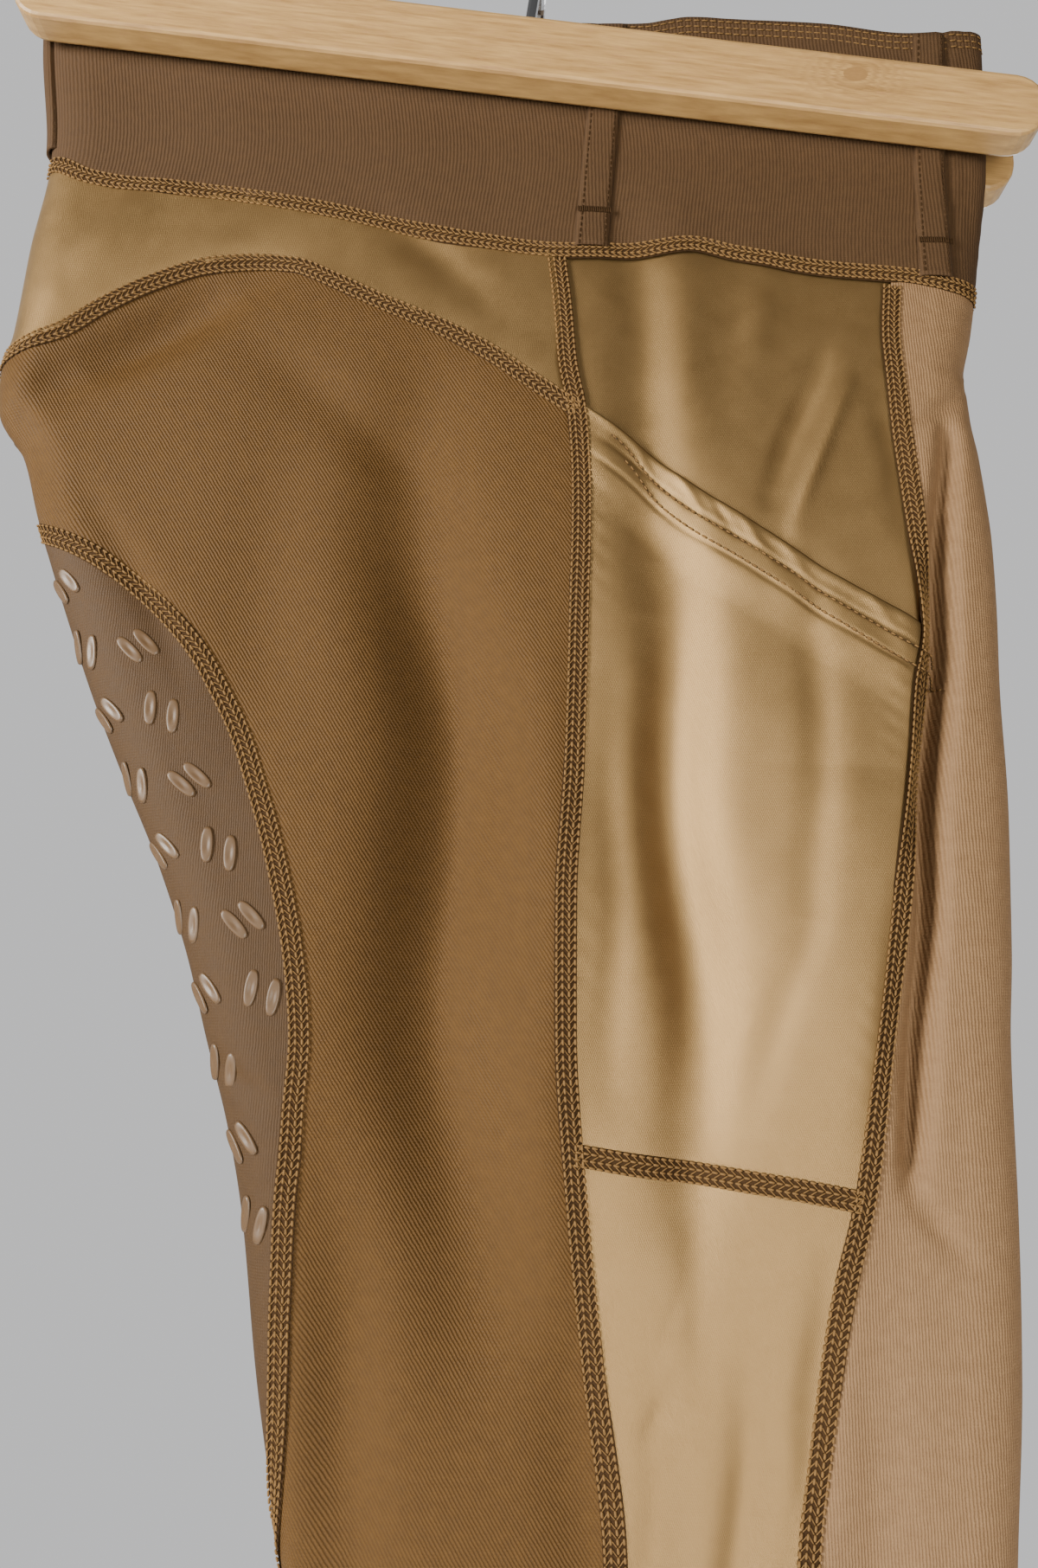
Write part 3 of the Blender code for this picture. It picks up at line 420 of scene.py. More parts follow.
def columns_over(start, end, fold_q, before, after):
    """Grid rows from start to end places, with the fold on one column where a row reaches it."""
    run = end[:, 0] - start[:, 0]
    tuck = np.minimum(6.0 / np.abs(run), 0.5)
    knee = np.clip((fold_q - start[:, 0]) / run, tuck, 1.0 - tuck)
    first = np.linspace(0.0, 1.0, before + 1)[:-1]
    last = np.linspace(0.0, 1.0, after + 1) ** 1.25
    share = np.concatenate([knee[:, None] * first, knee[:, None] + (1 - knee[:, None]) * last], axis=1)
    return start[:, None, :] + (end - start)[:, None, :] * share[:, :, None]


def back_grid(side):
    ticks = np.arange(len(BACK_EDGE))
    even = np.linspace(0, len(BACK_EDGE) - 1, 330)
    side_z = Curve([(t, row[0]) for t, row in zip(ticks, BACK_EDGE)])(even)
    edge_q = Curve([(t, row[1]) for t, row in zip(ticks, BACK_EDGE)])(even)
    edge_z = Curve([(t, row[2]) for t, row in zip(ticks, BACK_EDGE)])(even)
    start = np.stack([outer_q(SIDE_BACK(side_z), side_z, side), side_z], axis=1)
    end = np.stack([edge_q, edge_z], axis=1)
    grid = columns_over(start, end, 0.0, 78, 18)
    seam = seam_height(YOKE, np.maximum(grid[0, :, 0], 0.0), side)
    fade = np.clip(1.0 - (side_z[0] - side_z) / 55.0, 0.0, 1.0) ** 1.6
    grid[:, :, 1] += fade[:, None] * (seam - grid[0, :, 1])[None, :]
    return grid


def patch_edge(count):
    rows = [(q, z) for _, q, z in BACK_EDGE[PATCH_EDGE_FIRST : PATCH_EDGE_LAST + 1]]
    return stretch(rows, count)


def patch_grid(side):
    outer = patch_edge(220)
    x = np.linspace(-145, -60, 20)
    crotch = np.stack([inner_q(x, CROTCH(x), side, False), CROTCH(x)], axis=1)
    z = np.linspace(-304, -690, 50)
    inseam = np.stack([inner_q(INNER_SEAM(z), z, side, False), z], axis=1)
    inner = stretch(np.concatenate([crotch, inseam]), 220)
    return columns_over(outer, inner, 0.0, 26, 26)


def front_grid(side):
    fold_z = np.linspace(-180, -213, 20)
    fold = np.stack([across_at(fold_z, side), fold_z], axis=1)
    x = np.linspace(128, -60, 70)
    crotch = np.stack([inner_q(x, CROTCH(x), side, True), CROTCH(x)], axis=1)
    z = np.linspace(-304.5, ANKLE_Z, 230)
    inseam = np.stack([inner_q(INNER_SEAM(z), z, side, True), z], axis=1)
    end = np.concatenate([fold, crotch, inseam])
    side_z = np.concatenate([np.linspace(-178, -213, 20), np.linspace(-214.5, -303, 70), z])
    start = np.stack([outer_q(SIDE_FRONT(side_z), side_z, side), side_z], axis=1)
    grid = columns_over(start, end, across_at(side_z, side), 52, 20)
    seam = seam_height(WAIST, grid[0, :, 0], side)
    fade = np.clip(1.0 - (side_z[0] - side_z) / 22.0, 0.0, 1.0)
    grid[:, :, 1] += fade[:, None] * (seam - grid[0, :, 1])[None, :]
    return grid


def lighter(grid, side):
    """The far side's panels take every second row of their grid."""
    if side == NEAR:
        return grid
    return grid[np.unique(np.append(np.arange(0, len(grid), 2), len(grid) - 1))]


def strip_grid(side, top, bottom, rows, columns):
    """Between the two side seams, from one seam that crosses them down to another."""
    t = np.linspace(0, 1, rows)[:, None]
    s = np.linspace(0, 1, columns)[None, :]
    x = np.full((rows, columns), 60.0)
    z = np.full((rows, columns), -250.0)
    for _ in range(14):
        z = top(x) * (1 - t) + bottom(x) * t
        x = SIDE_BACK(z) * (1 - s) + SIDE_FRONT(z) * s
    return np.stack([outer_q(x, z, side), z], axis=-1)


def yoke_half(side):
    top_end = outer_q(SIDE_BACK(-168.0), -168.0, side)
    low_end = outer_q(SIDE_BACK(-231.0), -231.0, side)
    share = np.linspace(1.0, 0.0, 80)
    top = np.stack([share * top_end, seam_height(WAIST, share * top_end, side)], axis=1)
    low = np.stack([share * low_end, seam_height(YOKE, share * low_end, side)], axis=1)
    t = np.linspace(0, 1, 34)[:, None, None]
    return top[None] * (1 - t) + low[None] * t


def band_half(side):
    share = np.linspace(0.0, 1.0, 150)
    t = np.linspace(1.0, 0.0, 46)[:, None]
    z = np.full((46, 150), -110.0)
    for _ in range(14):
        q = share * across_at(z, side)
        x = cloth(q, z, side)[..., 0]
        z = WAIST(x) * (1 - t) + BAND_TOP(x) * t
    return np.stack([share * across_at(z, side), z], axis=-1)


def edge_distance(grid):
    """Millimetres from each place of a grid to the nearest edge of its panel."""
    along = np.linalg.norm(np.diff(grid, axis=1), axis=2)
    down = np.linalg.norm(np.diff(grid, axis=0), axis=2)
    left = np.concatenate([np.zeros((len(grid), 1)), np.cumsum(along, axis=1)], axis=1)
    top = np.concatenate([np.zeros((1, grid.shape[1])), np.cumsum(down, axis=0)], axis=0)
    return np.minimum(np.minimum(left, left[:, -1:] - left), np.minimum(top, top[-1:] - top))


def hand(grid, edge):
    """The cloth's small unevenness: it dips to a seam, with shallow puckers beside it, and ripples."""
    q, z = grid[..., 0], grid[..., 1]
    dip = -0.45 * np.exp(-edge / 3.2)
    beat = np.sin(z / 1.9 + 2.6 * np.sin(z / 19.0 + q / 23.0)) * np.sin(q / 1.73 + 1.3 * np.sin(z / 17.0))
    patchy = np.clip(np.sin(z / 27.0 + q / 41.0 + 1.3 * np.sin(z / 71.0)), 0.0, 1.0)
    pucker = 0.10 * patchy * np.exp(-((edge - 6.0) ** 2) / 14.0) * beat
    ripple = 0.30 * np.sin(q / 13.0 + 2.0 * np.sin(z / 61.0)) * np.sin(z / 37.0 + q / 29.0)
    return dip + pucker + ripple * np.clip(edge / 14.0, 0.0, 1.0)


def add_mesh(name, points, faces, finish, places=None):
    mesh = bpy.data.meshes.new(name)
    mesh.from_pydata((np.asarray(points).reshape(-1, 3) * MM).tolist(), [], faces.tolist())
    if places is not None:
        layer = mesh.uv_layers.new(name="cloth")
        loops = np.empty(len(mesh.loops), np.int32)
        mesh.loops.foreach_get("vertex_index", loops)
        layer.data.foreach_set("uv", (places.reshape(-1, 2)[loops] / 10.0).ravel().astype(np.float32))
    mesh.materials.append(finish)
    mesh.shade_smooth()
    made = bpy.data.objects.new(name, mesh)
    bpy.context.scene.collection.objects.link(made)
    return made


def grid_faces(rows, columns, closed=False):
    spans = columns if closed else columns - 1
    i, j = np.meshgrid(np.arange(rows - 1), np.arange(spans), indexing="ij")
    a, b = i * columns + j, i * columns + (j + 1) % columns
    return np.stack([a, b, b + columns, a + columns], axis=-1).reshape(-1, 4)


def shell(name, points, places, outward, wall, finish, closed=False):
    """A thin cloth shell on a grid of outer points, its wall going inwards."""
    faces = grid_faces(points.shape[0], points.shape[1], closed)
    made = add_mesh(name, points, faces, finish, places)
    first = made.data.polygons[len(made.data.polygons) // 2]
    row, column = divmod(first.vertices[0], points.shape[1])
    if float(np.dot(np.array(first.normal), outward[row, column])) < 0:
        made.data.flip_normals()
    thick = made.modifiers.new("wall", "SOLIDIFY")
    thick.thickness = wall * MM
    thick.offset = -1.0
    return made


def flat_size(places):
    """Width, length and area of a panel laid flat, in metres."""
    outline = np.concatenate([places[0], places[1:, -1], places[-1, :-1][::-1], places[1:-1, 0][::-1]])
    x, z = outline[:, 0], outline[:, 1]
    area = 0.5 * abs(float(np.sum(x * np.roll(z, -1) - np.roll(x, -1) * z)))
    width = float(np.max(np.ptp(places[..., 0], axis=1)))
    length = float(np.max(np.ptp(places[..., 1], axis=0)))
    area = min(area, width * length)
    return (width * MM, length * MM), area * MM * MM


def hem_lift(below, inward, along):
    """The pocket's turned hem: how far it stands off, by the distance below its mouth and from its ends."""
    hem = HEM_RISE * (1 - smooth_step(HEM_DEPTH - 2.0, HEM_DEPTH + 16.0, below))
    lip = 0.5 * np.exp(-((below - 1.5) ** 2) / 6.0)
    grooves = sum(-0.38 * np.exp(-((below - row) ** 2) / 1.2) for row in MOUTH_ROWS)
    middle = smooth_step(-6.0, 8.0, below) * (1 - smooth_step(14.0, 26.0, below))
    beat = np.sin(along / 1.9 + below * 0.22) + 0.7 * np.sin(along / 3.7 - below * 0.31 + 1.0)
    gathers = 0.13 * middle * beat
    for place, width, height in MOUTH_GATHERS:
        off = along - place - (below - 4.0) * 0.7
        spread = np.exp(-(off**2) / width**2) * np.exp(-((below - 4.0) ** 2) / 22.0)
        gathers = gathers + 0.75 * height * spread
    return (hem + lip + grooves + gathers) * smooth_step(0.0, 7.0, inward)


def panel(node, grid, side, finish, lift=0.0, wall=SHELL):
    edge = edge_distance(grid)
    q, z = grid[..., 0], grid[..., 1]
    outward = cloth_normal(q, z, side)
    rise = np.where((q < 0) | (q > across_at(z, side)), 0.0, hand(grid, edge)) + lift
    points = cloth(q, z, side) + outward * rise[..., None]
    places = np.stack([q + folds_at(z, side)[0], z], axis=-1)
    made = shell(f"cloth_{node}", points, places, outward, wall, finish)
    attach(made, "root")
    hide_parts(node)
    return made, flat_size(grid)


def capsule(sides):
    """A stitch of thread, 1 long and 1 thick, as points and triangles."""
    turn = np.arange(sides) * 2 * math.pi / sides
    ring = np.stack([np.zeros(sides), 0.5 * np.cos(turn), 0.5 * np.sin(turn)], axis=1)
    points = np.concatenate([[[-0.5, 0, 0]], ring + [-0.3, 0, 0], ring + [0.3, 0, 0], [[0.5, 0, 0]]])
    faces = []
    for k in range(sides):
        a, b = 1 + k, 1 + (k + 1) % sides
        c, d = a + sides, b + sides
        faces += [(0, b, a), (a, b, d), (a, d, c), (2 * sides + 1, c, d)]
    return points, np.array(faces)


def strew(name, template, places, frames, sizes, finish):
    """One mesh with a copy of the template at each place. A frame's rows are its three directions."""
    points, faces = template
    scaled = points[None, :, :] * sizes[:, None, :]
    laid = np.einsum("npk,nkd->npd", scaled, frames) + places[:, None, :]
    first_points = np.arange(len(places)) * len(points)
    all_faces = (faces[None] + first_points[:, None, None]).reshape(-1, faces.shape[1])
    return add_mesh(name, laid, all_faces, finish)


def seam_track(places, side, pitch):
    """Points, directions and outward normals at an even pitch along (q, z) places on the cloth."""
    dense = cloth(places[:, 0], places[:, 1], side)
    lengths = np.concatenate([[0.0], np.cumsum(np.linalg.norm(np.diff(dense, axis=0), axis=1))])
    even = np.arange(pitch / 2, lengths[-1], pitch)
    q, z = np.interp(even, lengths, places[:, 0]), np.interp(even, lengths, places[:, 1])
    points, outward = cloth(q, z, side), cloth_normal(q, z, side)
    along = np.gradient(points, axis=0)
    along /= np.linalg.norm(along, axis=1, keepdims=True)
    sideways = np.cross(outward, along)
    return points, along, sideways, outward


def laid_stitches(track, offsets, length, width, height, lift, slant=0.0, shift=0.0):
    """Places, frames and sizes of rows of stitches beside a track."""
    points, along, sideways, outward = track
    places, frames = [], []
    for offset in offsets:
        turned = along * math.cos(slant) + sideways * math.sin(slant)
        beside = np.cross(outward, turned)
        places.append(points + sideways * offset + outward * lift + along * shift)
        frames.append(np.stack([turned, beside, outward], axis=1))
    count = len(points) * len(offsets)
    return np.concatenate(places), np.concatenate(frames), np.tile([length, width, height], (count, 1))


def ride_thread(made):
    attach(made, "root")
    return made


def flatlock(name, places, side, finish, seam_shade_finish, fine=True):
    """A flat seam: a low strip painted near-black as the shade between its threads, four rows of stitches
    and, if fine, threads that cross between them.
    """
    track = seam_track(places, side, STITCH_PITCH)
    points, _, sideways, outward = track
    across = np.linspace(-0.5, 0.5, 7)
    arch = SEAM_RISE * (1 - (2 * across) ** 4) - 0.25
    # A near-black strip under the stitches: painted shade of the gaps between the seam's threads.
    seam_shade = points[:, None, :] + sideways[:, None, :] * (across * SEAM_WIDTH)[None, :, None]
    seam_shade = seam_shade + outward[:, None, :] * arch[None, :, None]
    base = add_mesh(f"{name}_tape", seam_shade, grid_faces(len(seam_shade), 7), seam_shade_finish)
    rows = [laid_stitches(track, STITCH_ROWS, 1.95, 0.8, 0.75, SEAM_RISE)]
    if fine:
        slant = math.atan2(1.8, STITCH_PITCH)
        for k, middle in enumerate((-1.85, 0.0, 1.85)):
            way = slant if k % 2 else -slant
            rows.append(laid_stitches(track, (middle,), 2.7, 0.38, 0.4, SEAM_RISE - 0.12, way, 0.6))
    joined = [np.concatenate([row[k] for row in rows]) for k in range(3)]
    stitches = strew(f"{name}_stitches", capsule(4 if fine else 3), *joined, finish)
    return [ride_thread(base), ride_thread(stitches)]


def topstitch(name, places, side, offsets, finish, lift, length=2.3, pitch=2.8):
    track = seam_track(places, side, pitch)
    rows = laid_stitches(track, offsets, length, 0.6, 0.5, lift)
    return ride_thread(strew(name, capsule(4), *rows, finish))


class Nodes:
    """Short calls that add shader nodes to one material."""

    def __init__(self, name):
        self.material = bpy.data.materials.new(name)
        self.material.use_nodes = True
        self.tree = self.material.node_tree
        self.shader = self.tree.nodes["Principled BSDF"]

    def put(self, kind, **inputs):
        node = self.tree.nodes.new(kind)
        for label, value in inputs.items():
            self.feed(node, label.replace("_", " "), value)
        return node

    def feed(self, node, socket, value):
        target = node.inputs[int(socket)] if str(socket).isdigit() else node.inputs[socket]
        if isinstance(value, bpy.types.NodeSocket):
            self.tree.links.new(value, target)
        else:
            target.default_value = value

    def look(self, **inputs):
        """Sets inputs of the shader. An underscore in a label stands for a space."""
        for label, value in inputs.items():
            self.feed(self.shader, label.replace("_", " "), value)

    def work(self, operation, first, second=0.0):
        node = self.tree.nodes.new("ShaderNodeMath")
        node.operation = operation
        self.feed(node, 0, first)
        self.feed(node, 1, second)
        return node.outputs[0]

    def times(self, first, second):
        return self.work("MULTIPLY", first, second)

    def plus(self, first, second):
        return self.work("ADD", first, second)

    def cloth_place(self):
        """The place on the cloth in centimetres, as separate values."""
        uv = self.tree.nodes.new("ShaderNodeUVMap")
        uv.uv_map = "cloth"
        parts = self.put("ShaderNodeSeparateXYZ", Vector=uv.outputs[0])
        return uv.outputs[0], parts.outputs[0], parts.outputs[1]

    def noise(self, vector, scale, detail=3.0, rough=0.55):
        node = self.put("ShaderNodeTexNoise", Vector=vector, Scale=scale, Detail=detail, Roughness=rough)
        return node.outputs["Fac"]

    def mixed(self, share, first, second):
        node = self.tree.nodes.new("ShaderNodeMix")
        node.data_type = "RGBA"
        self.feed(node, 0, share)
        self.feed(node, 6, (*first, 1.0) if isinstance(first, tuple) else first)
        self.feed(node, 7, (*second, 1.0) if isinstance(second, tuple) else second)
        return node.outputs[2]

    def relief(self, height, distance_mm, strength=1.0):
        bump = self.put("ShaderNodeBump", Height=height, Strength=strength, Distance=distance_mm * MM)
        self.feed(self.shader, "Normal", bump.outputs[0])

    def waves(self, value, pitch_cm):
        """0 to 1 ridges along a value."""
        turned = self.times(value, 2 * math.pi / pitch_cm)
        return self.plus(self.times(self.work("SINE", turned), 0.5), 0.5)


def cloth_finish(
    name, deep, light, rough, rib, rib_depth, grain, sheen, slant=0.0, gloss=0.3, mottle=2.6, metal=0.0
):
    """Knitted or coated cloth: ribs of a given pitch in centimetres, a fine grain and uneven colour."""
    made = Nodes(name)
    place, across, down = made.cloth_place()
    wobble = made.times(made.noise(place, 3.0), 0.06)
    line = made.plus(made.plus(across, made.times(down, slant)), wobble)
    ribs = made.waves(line, rib)
    courses = made.waves(made.plus(down, made.times(ribs, 0.02)), 0.085)
    fine = made.noise(place, 42.0, 4.0, 0.7)
    broad = made.noise(place, mottle, 4.0, 0.6)
    height = made.plus(made.times(ribs, rib_depth), made.times(fine, grain))
    height = made.plus(height, made.times(courses, rib_depth * 0.35))
    made.relief(height, 0.28)
    rib_tone = made.times(ribs, 0.45 * min(1.0, rib_depth))
    tone = made.plus(made.times(broad, 0.55), rib_tone)
    tone = made.plus(tone, made.times(made.work("SUBTRACT", fine, 0.5), 0.8))
    node = made.tree.nodes.new("ShaderNodeClamp")
    made.feed(node, 0, tone)
    made.look(Base_Color=made.mixed(node.outputs[0], deep, light))
    uneven = made.plus(made.times(broad, 0.16), rough - 0.08)
    made.look(Roughness=uneven, Metallic=metal, Sheen_Weight=sheen, Sheen_Roughness=0.45)
    made.look(Sheen_Tint=(*light, 1.0), Specular_IOR_Level=gloss)
    return made.material


def thread_finish(name, colour, rough):
    made = Nodes(name)
    spots = made.put("ShaderNodeTexCoord")
    tone = made.noise(spots.outputs["Object"], 900.0, 2.0)
    darker = tuple(part * 0.62 for part in colour)
    made.look(Base_Color=made.mixed(tone, darker, colour), Roughness=rough, Sheen_Weight=0.06)
    made.look(Sheen_Tint=(*colour, 1.0), Specular_IOR_Level=0.15)
    return made.material


def silicone_finish():
    made = Nodes("grip_silicone")
    made.look(Base_Color=(0.095, 0.052, 0.021, 1.0), Roughness=0.48, Coat_Weight=0.15, Coat_Roughness=0.25)
    return made.material


def wood_finish():
    """Pale beech with long grain, short dark flecks and one knot near the front end."""
    made = Nodes("beech")
    spots = made.put("ShaderNodeTexCoord")
    level = made.put("ShaderNodeMapping", Vector=spots.outputs["Object"])
    level.inputs["Rotation"].default_value = (0.0, -TILT, 0.0)
    turned = made.put("ShaderNodeMapping", Vector=level.outputs[0])
    turned.inputs["Scale"].default_value = (1.0, 6.0, 14.0)
    long_grain = made.noise(turned.outputs[0], 55.0, 5.0, 0.62)
    flecks = made.put("ShaderNodeMapping", Vector=level.outputs[0])
    flecks.inputs["Scale"].default_value = (1.0, 5.0, 9.0)
    fleck = made.noise(flecks.outputs[0], 260.0, 2.0, 0.5)
    knot = made.put("ShaderNodeMapping", Vector=spots.outputs["Object"])
    knot.inputs["Location"].default_value = (-KNOT_X * MM, 0.0, -1.5 * KNOT_Z * MM)
    knot.inputs["Scale"].default_value = (1.0, 0.0, 1.5)
    away = made.put("ShaderNodeVectorMath", **{"0": knot.outputs[0]})
    away.operation = "LENGTH"
    bent = made.plus(away.outputs["Value"], made.times(long_grain, 0.014))
    rings = made.waves(bent, RING_PITCH)
    near = made.work("SUBTRACT", 1.0, made.work("DIVIDE", away.outputs["Value"], KNOT_REACH))
    near = made.work("MAXIMUM", near, 0.0)
    streak = made.times(made.work("SUBTRACT", long_grain, 0.28), 2.0)
    held = made.tree.nodes.new("ShaderNodeClamp")
    made.feed(held, 0, streak)
    tone = made.mixed(held.outputs[0], (0.27, 0.150, 0.050), (0.52, 0.325, 0.120))
    specks = made.times(made.work("GREATER_THAN", fleck, 0.62), 0.42)
    tone = made.mixed(specks, tone, (0.40, 0.22, 0.10))
    ring_share = made.times(made.times(near, rings), 0.6)
    tone = made.mixed(ring_share, tone, (0.20, 0.105, 0.036))
    core = made.times(made.work("LESS_THAN", away.outputs["Value"], KNOT_CORE), 0.85)
    tone = made.mixed(core, tone, (0.26, 0.142, 0.050))
    made.look(Base_Color=tone)
    made.relief(long_grain, 0.06, 0.6)
    made.look(Roughness=0.42, Coat_Weight=0.12, Coat_Roughness=0.3)
    return made.material


def steel_finish():
    made = Nodes("plated_steel")
    made.look(Base_Color=(0.66, 0.66, 0.67, 1.0), Metallic=1.0, Roughness=0.22)
    return made.material


def across_centre(node, halves, finish, wall, closed):
    """A piece that runs from the near half to the far half round a fold."""
    points, outward, places = [], [], []
    for side, grid in zip((NEAR, FAR), halves):
        q, z = grid[..., 0], grid[..., 1]
        normal = cloth_normal(q, z, side)
        at_fold = np.abs(cloth(q, z, side)[..., 1]) < 1e-6
        turned = np.stack([np.sign(q - 50.0), np.zeros(q.shape), np.zeros(q.shape)], axis=-1)
        normal = np.where(at_fold[..., None], turned, normal)
        rise = hand(grid, edge_distance(grid) + 6.0)
        points.append(cloth(q, z, side) + normal * rise[..., None])
        outward.append(normal)
        places.append(np.stack([q * -side, z], axis=-1))
    points, outward, places = (np.concatenate(part, axis=1) for part in (points, outward, places))
    made = shell(f"cloth_{node}", points, places, outward, wall, finish, closed)
    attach(made, "root")
    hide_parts(node)
    return made


def waistband(finish):
    near, far = band_half(NEAR), band_half(FAR)
    return across_centre(
        "waistband", (near[:, ::-1], far[:, 1:-1]), finish, BAND_SHELL, True
    )


def back_yoke(finish):
    near, far = yoke_half(NEAR), yoke_half(FAR)
    return across_centre("back_yoke", (near, far[:, :-1][:, ::-1]), finish, SHELL, False)


def strap(node, centres, side, finish):
    """A belt loop: a strap of cloth over the band, with its long edges turned in."""
    centres = np.array(centres)
    across = np.linspace(-0.5, 0.5, 13)
    edge_roll = 1.25 * (1 - (2 * np.abs(across)) ** 8)
    x = centres[:, 0][:, None] + across[None, :] * LOOP_WIDTH
    z = np.repeat(centres[:, 1][:, None], 13, axis=1)
    q = outer_q(x, z, side)
    outward = cloth_normal(q, z, side)
    points = cloth(q, z, side) + outward * (0.25 + edge_roll)[None, :, None]
    places = np.stack([x, z], axis=-1)
    made = shell(f"cloth_{node}", points, places, outward, 0.9, finish)
    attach(made, "root")
    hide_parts(node)
    return made


def loop_centres(x_bottom, x_top, count=60):
    t = np.linspace(0.985, 0.015, count)
    x = x_bottom + (x_top - x_bottom) * t
    return np.stack([x, WAIST(x) * (1 - t) + BAND_TOP(x) * t], axis=1)


def bartack(name, x, z, side, finish):
    """A dense bar of stitches across a belt loop."""
    reach = np.linspace(-LOOP_WIDTH / 2 + 0.5, LOOP_WIDTH / 2 - 0.5, 16)
    q = outer_q(x + reach, np.full(16, z), side)
    points, outward = cloth(q, z, side), cloth_normal(q, z, side)
    along = np.gradient(points, axis=0)
    along /= np.linalg.norm(along, axis=1, keepdims=True)
    track = (points, along, np.cross(outward, along), outward)
    rows = laid_stitches(track, (0.0,), 2.6, 0.75, 0.7, 1.75, math.pi / 2)
    return ride_thread(strew(name, capsule(4), *rows, finish))


def back_loop(finish):
    """The centre-back belt loop, folded in two with the band."""
    z = np.linspace(-34, -122, 50)
    q = np.array([9.0, 7.5, 6.0, 4.5, 3.0, 1.5, 0.0])
    edge_roll = 1.5 * (1 - (q / 9.0) ** 8)
    halves, ways = [], []
    for side in (NEAR, FAR):
        qs, zs = np.meshgrid(q, z)
        normal = cloth_normal(qs, zs, side)
        normal[:, -1] = (-1.0, 0.0, 0.0)
        halves.append(cloth(qs, zs, side) + normal * (0.3 + edge_roll)[None, :, None])
        ways.append(normal)
    points = np.concatenate([halves[0], halves[1][:, :-1][:, ::-1]], axis=1)
    outward = np.concatenate([ways[0], ways[1][:, :-1][:, ::-1]], axis=1)
    wide, tall = np.meshgrid(np.arange(13) * 1.5, z)
    made = shell("cloth_belt_loop_back", points, np.stack([wide, tall], axis=-1), outward, 0.9, finish)
    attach(made, "root")
    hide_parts("belt_loop_back")
    return made


def side_seam_line(curve, top, side, bottom=ANKLE_Z + 2.0):
    z = np.linspace(top, bottom, 420)
    return np.stack([outer_q(curve(z), z, side), z], axis=1)


def grip_dome():
    """A low rounded pill of silicone with a groove along it, 1 long and 1 wide and 1 high."""
    around = np.linspace(0, 2 * math.pi, 20, endpoint=False)
    across = 0.5 * np.sign(np.sin(around)) * np.abs(np.sin(around)) ** 0.7
    outline = np.stack([0.5 * np.cos(around), across], axis=1)
    rings, heights = (1.0, 0.97, 0.82, 0.5, 0.22), (-0.3, 0.7, 1.0, 1.0, 0.55)
    points = [np.column_stack([outline * size, np.full(20, tall)]) for size, tall in zip(rings, heights)]
    points = np.concatenate(points + [np.array([[0.0, 0.0, 0.45]])])
    faces = []
    for ring in range(4):
        for k in range(20):
            a, b = ring * 20 + k, ring * 20 + (k + 1) % 20
            faces += [(a, b, b + 20), (a, b + 20, a + 20)]
    faces += [(80 + k, 80 + (k + 1) % 20, 100) for k in range(20)]
    return points, np.array(faces)


def grip_print(side, label, grid, finish):
    """Rows of paired pills, tipped one way and then the other, over the grip patch's outer face."""
    places, frames, sizes = [], [], []
    edge = edge_distance(grid)
    for row in range(26):
        z = -270.0 - row * PILL_ROW_PITCH
        for column in range(14):
            q = 44.0 - column * PILL_COLUMN_PITCH
            off = np.hypot(grid[..., 0] - q, grid[..., 1] - z)
            nearest = np.unravel_index(np.argmin(off), off.shape)
            if off[nearest] > 2.5 or edge[nearest] < 8.5 or q < 3.0:
                continue
            tip = PILL_TIP if (row + column) % 2 else -PILL_TIP
            for shift in (-3.2, 3.2):
                at_q = np.array(q + shift * math.cos(tip))
                at_z = np.array(z + shift * math.sin(tip))
                outward = cloth_normal(at_q, at_z, side)
                down = cloth(at_q, at_z - 1.0, side) - cloth(at_q, at_z + 1.0, side)
                down /= np.linalg.norm(down)
                onward = cloth(at_q + 1.0, at_z, side) - cloth(at_q - 1.0, at_z, side)
                onward -= down * np.dot(onward, down)
                onward /= np.linalg.norm(onward)
                long_way = down * math.cos(tip) + onward * math.sin(tip)
                places.append(cloth(at_q, at_z, side) + outward * 0.1)
                frames.append(np.stack([long_way, np.cross(outward, long_way), outward]))
                sizes.append(PILL_SIZE)
    made = strew(f"grip_{label}", grip_dome(), np.array(places), np.array(frames), np.array(sizes), finish)
    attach(made, "root")
    return made


def declare(made, size, area, holder, extras=()):
    list(extras)


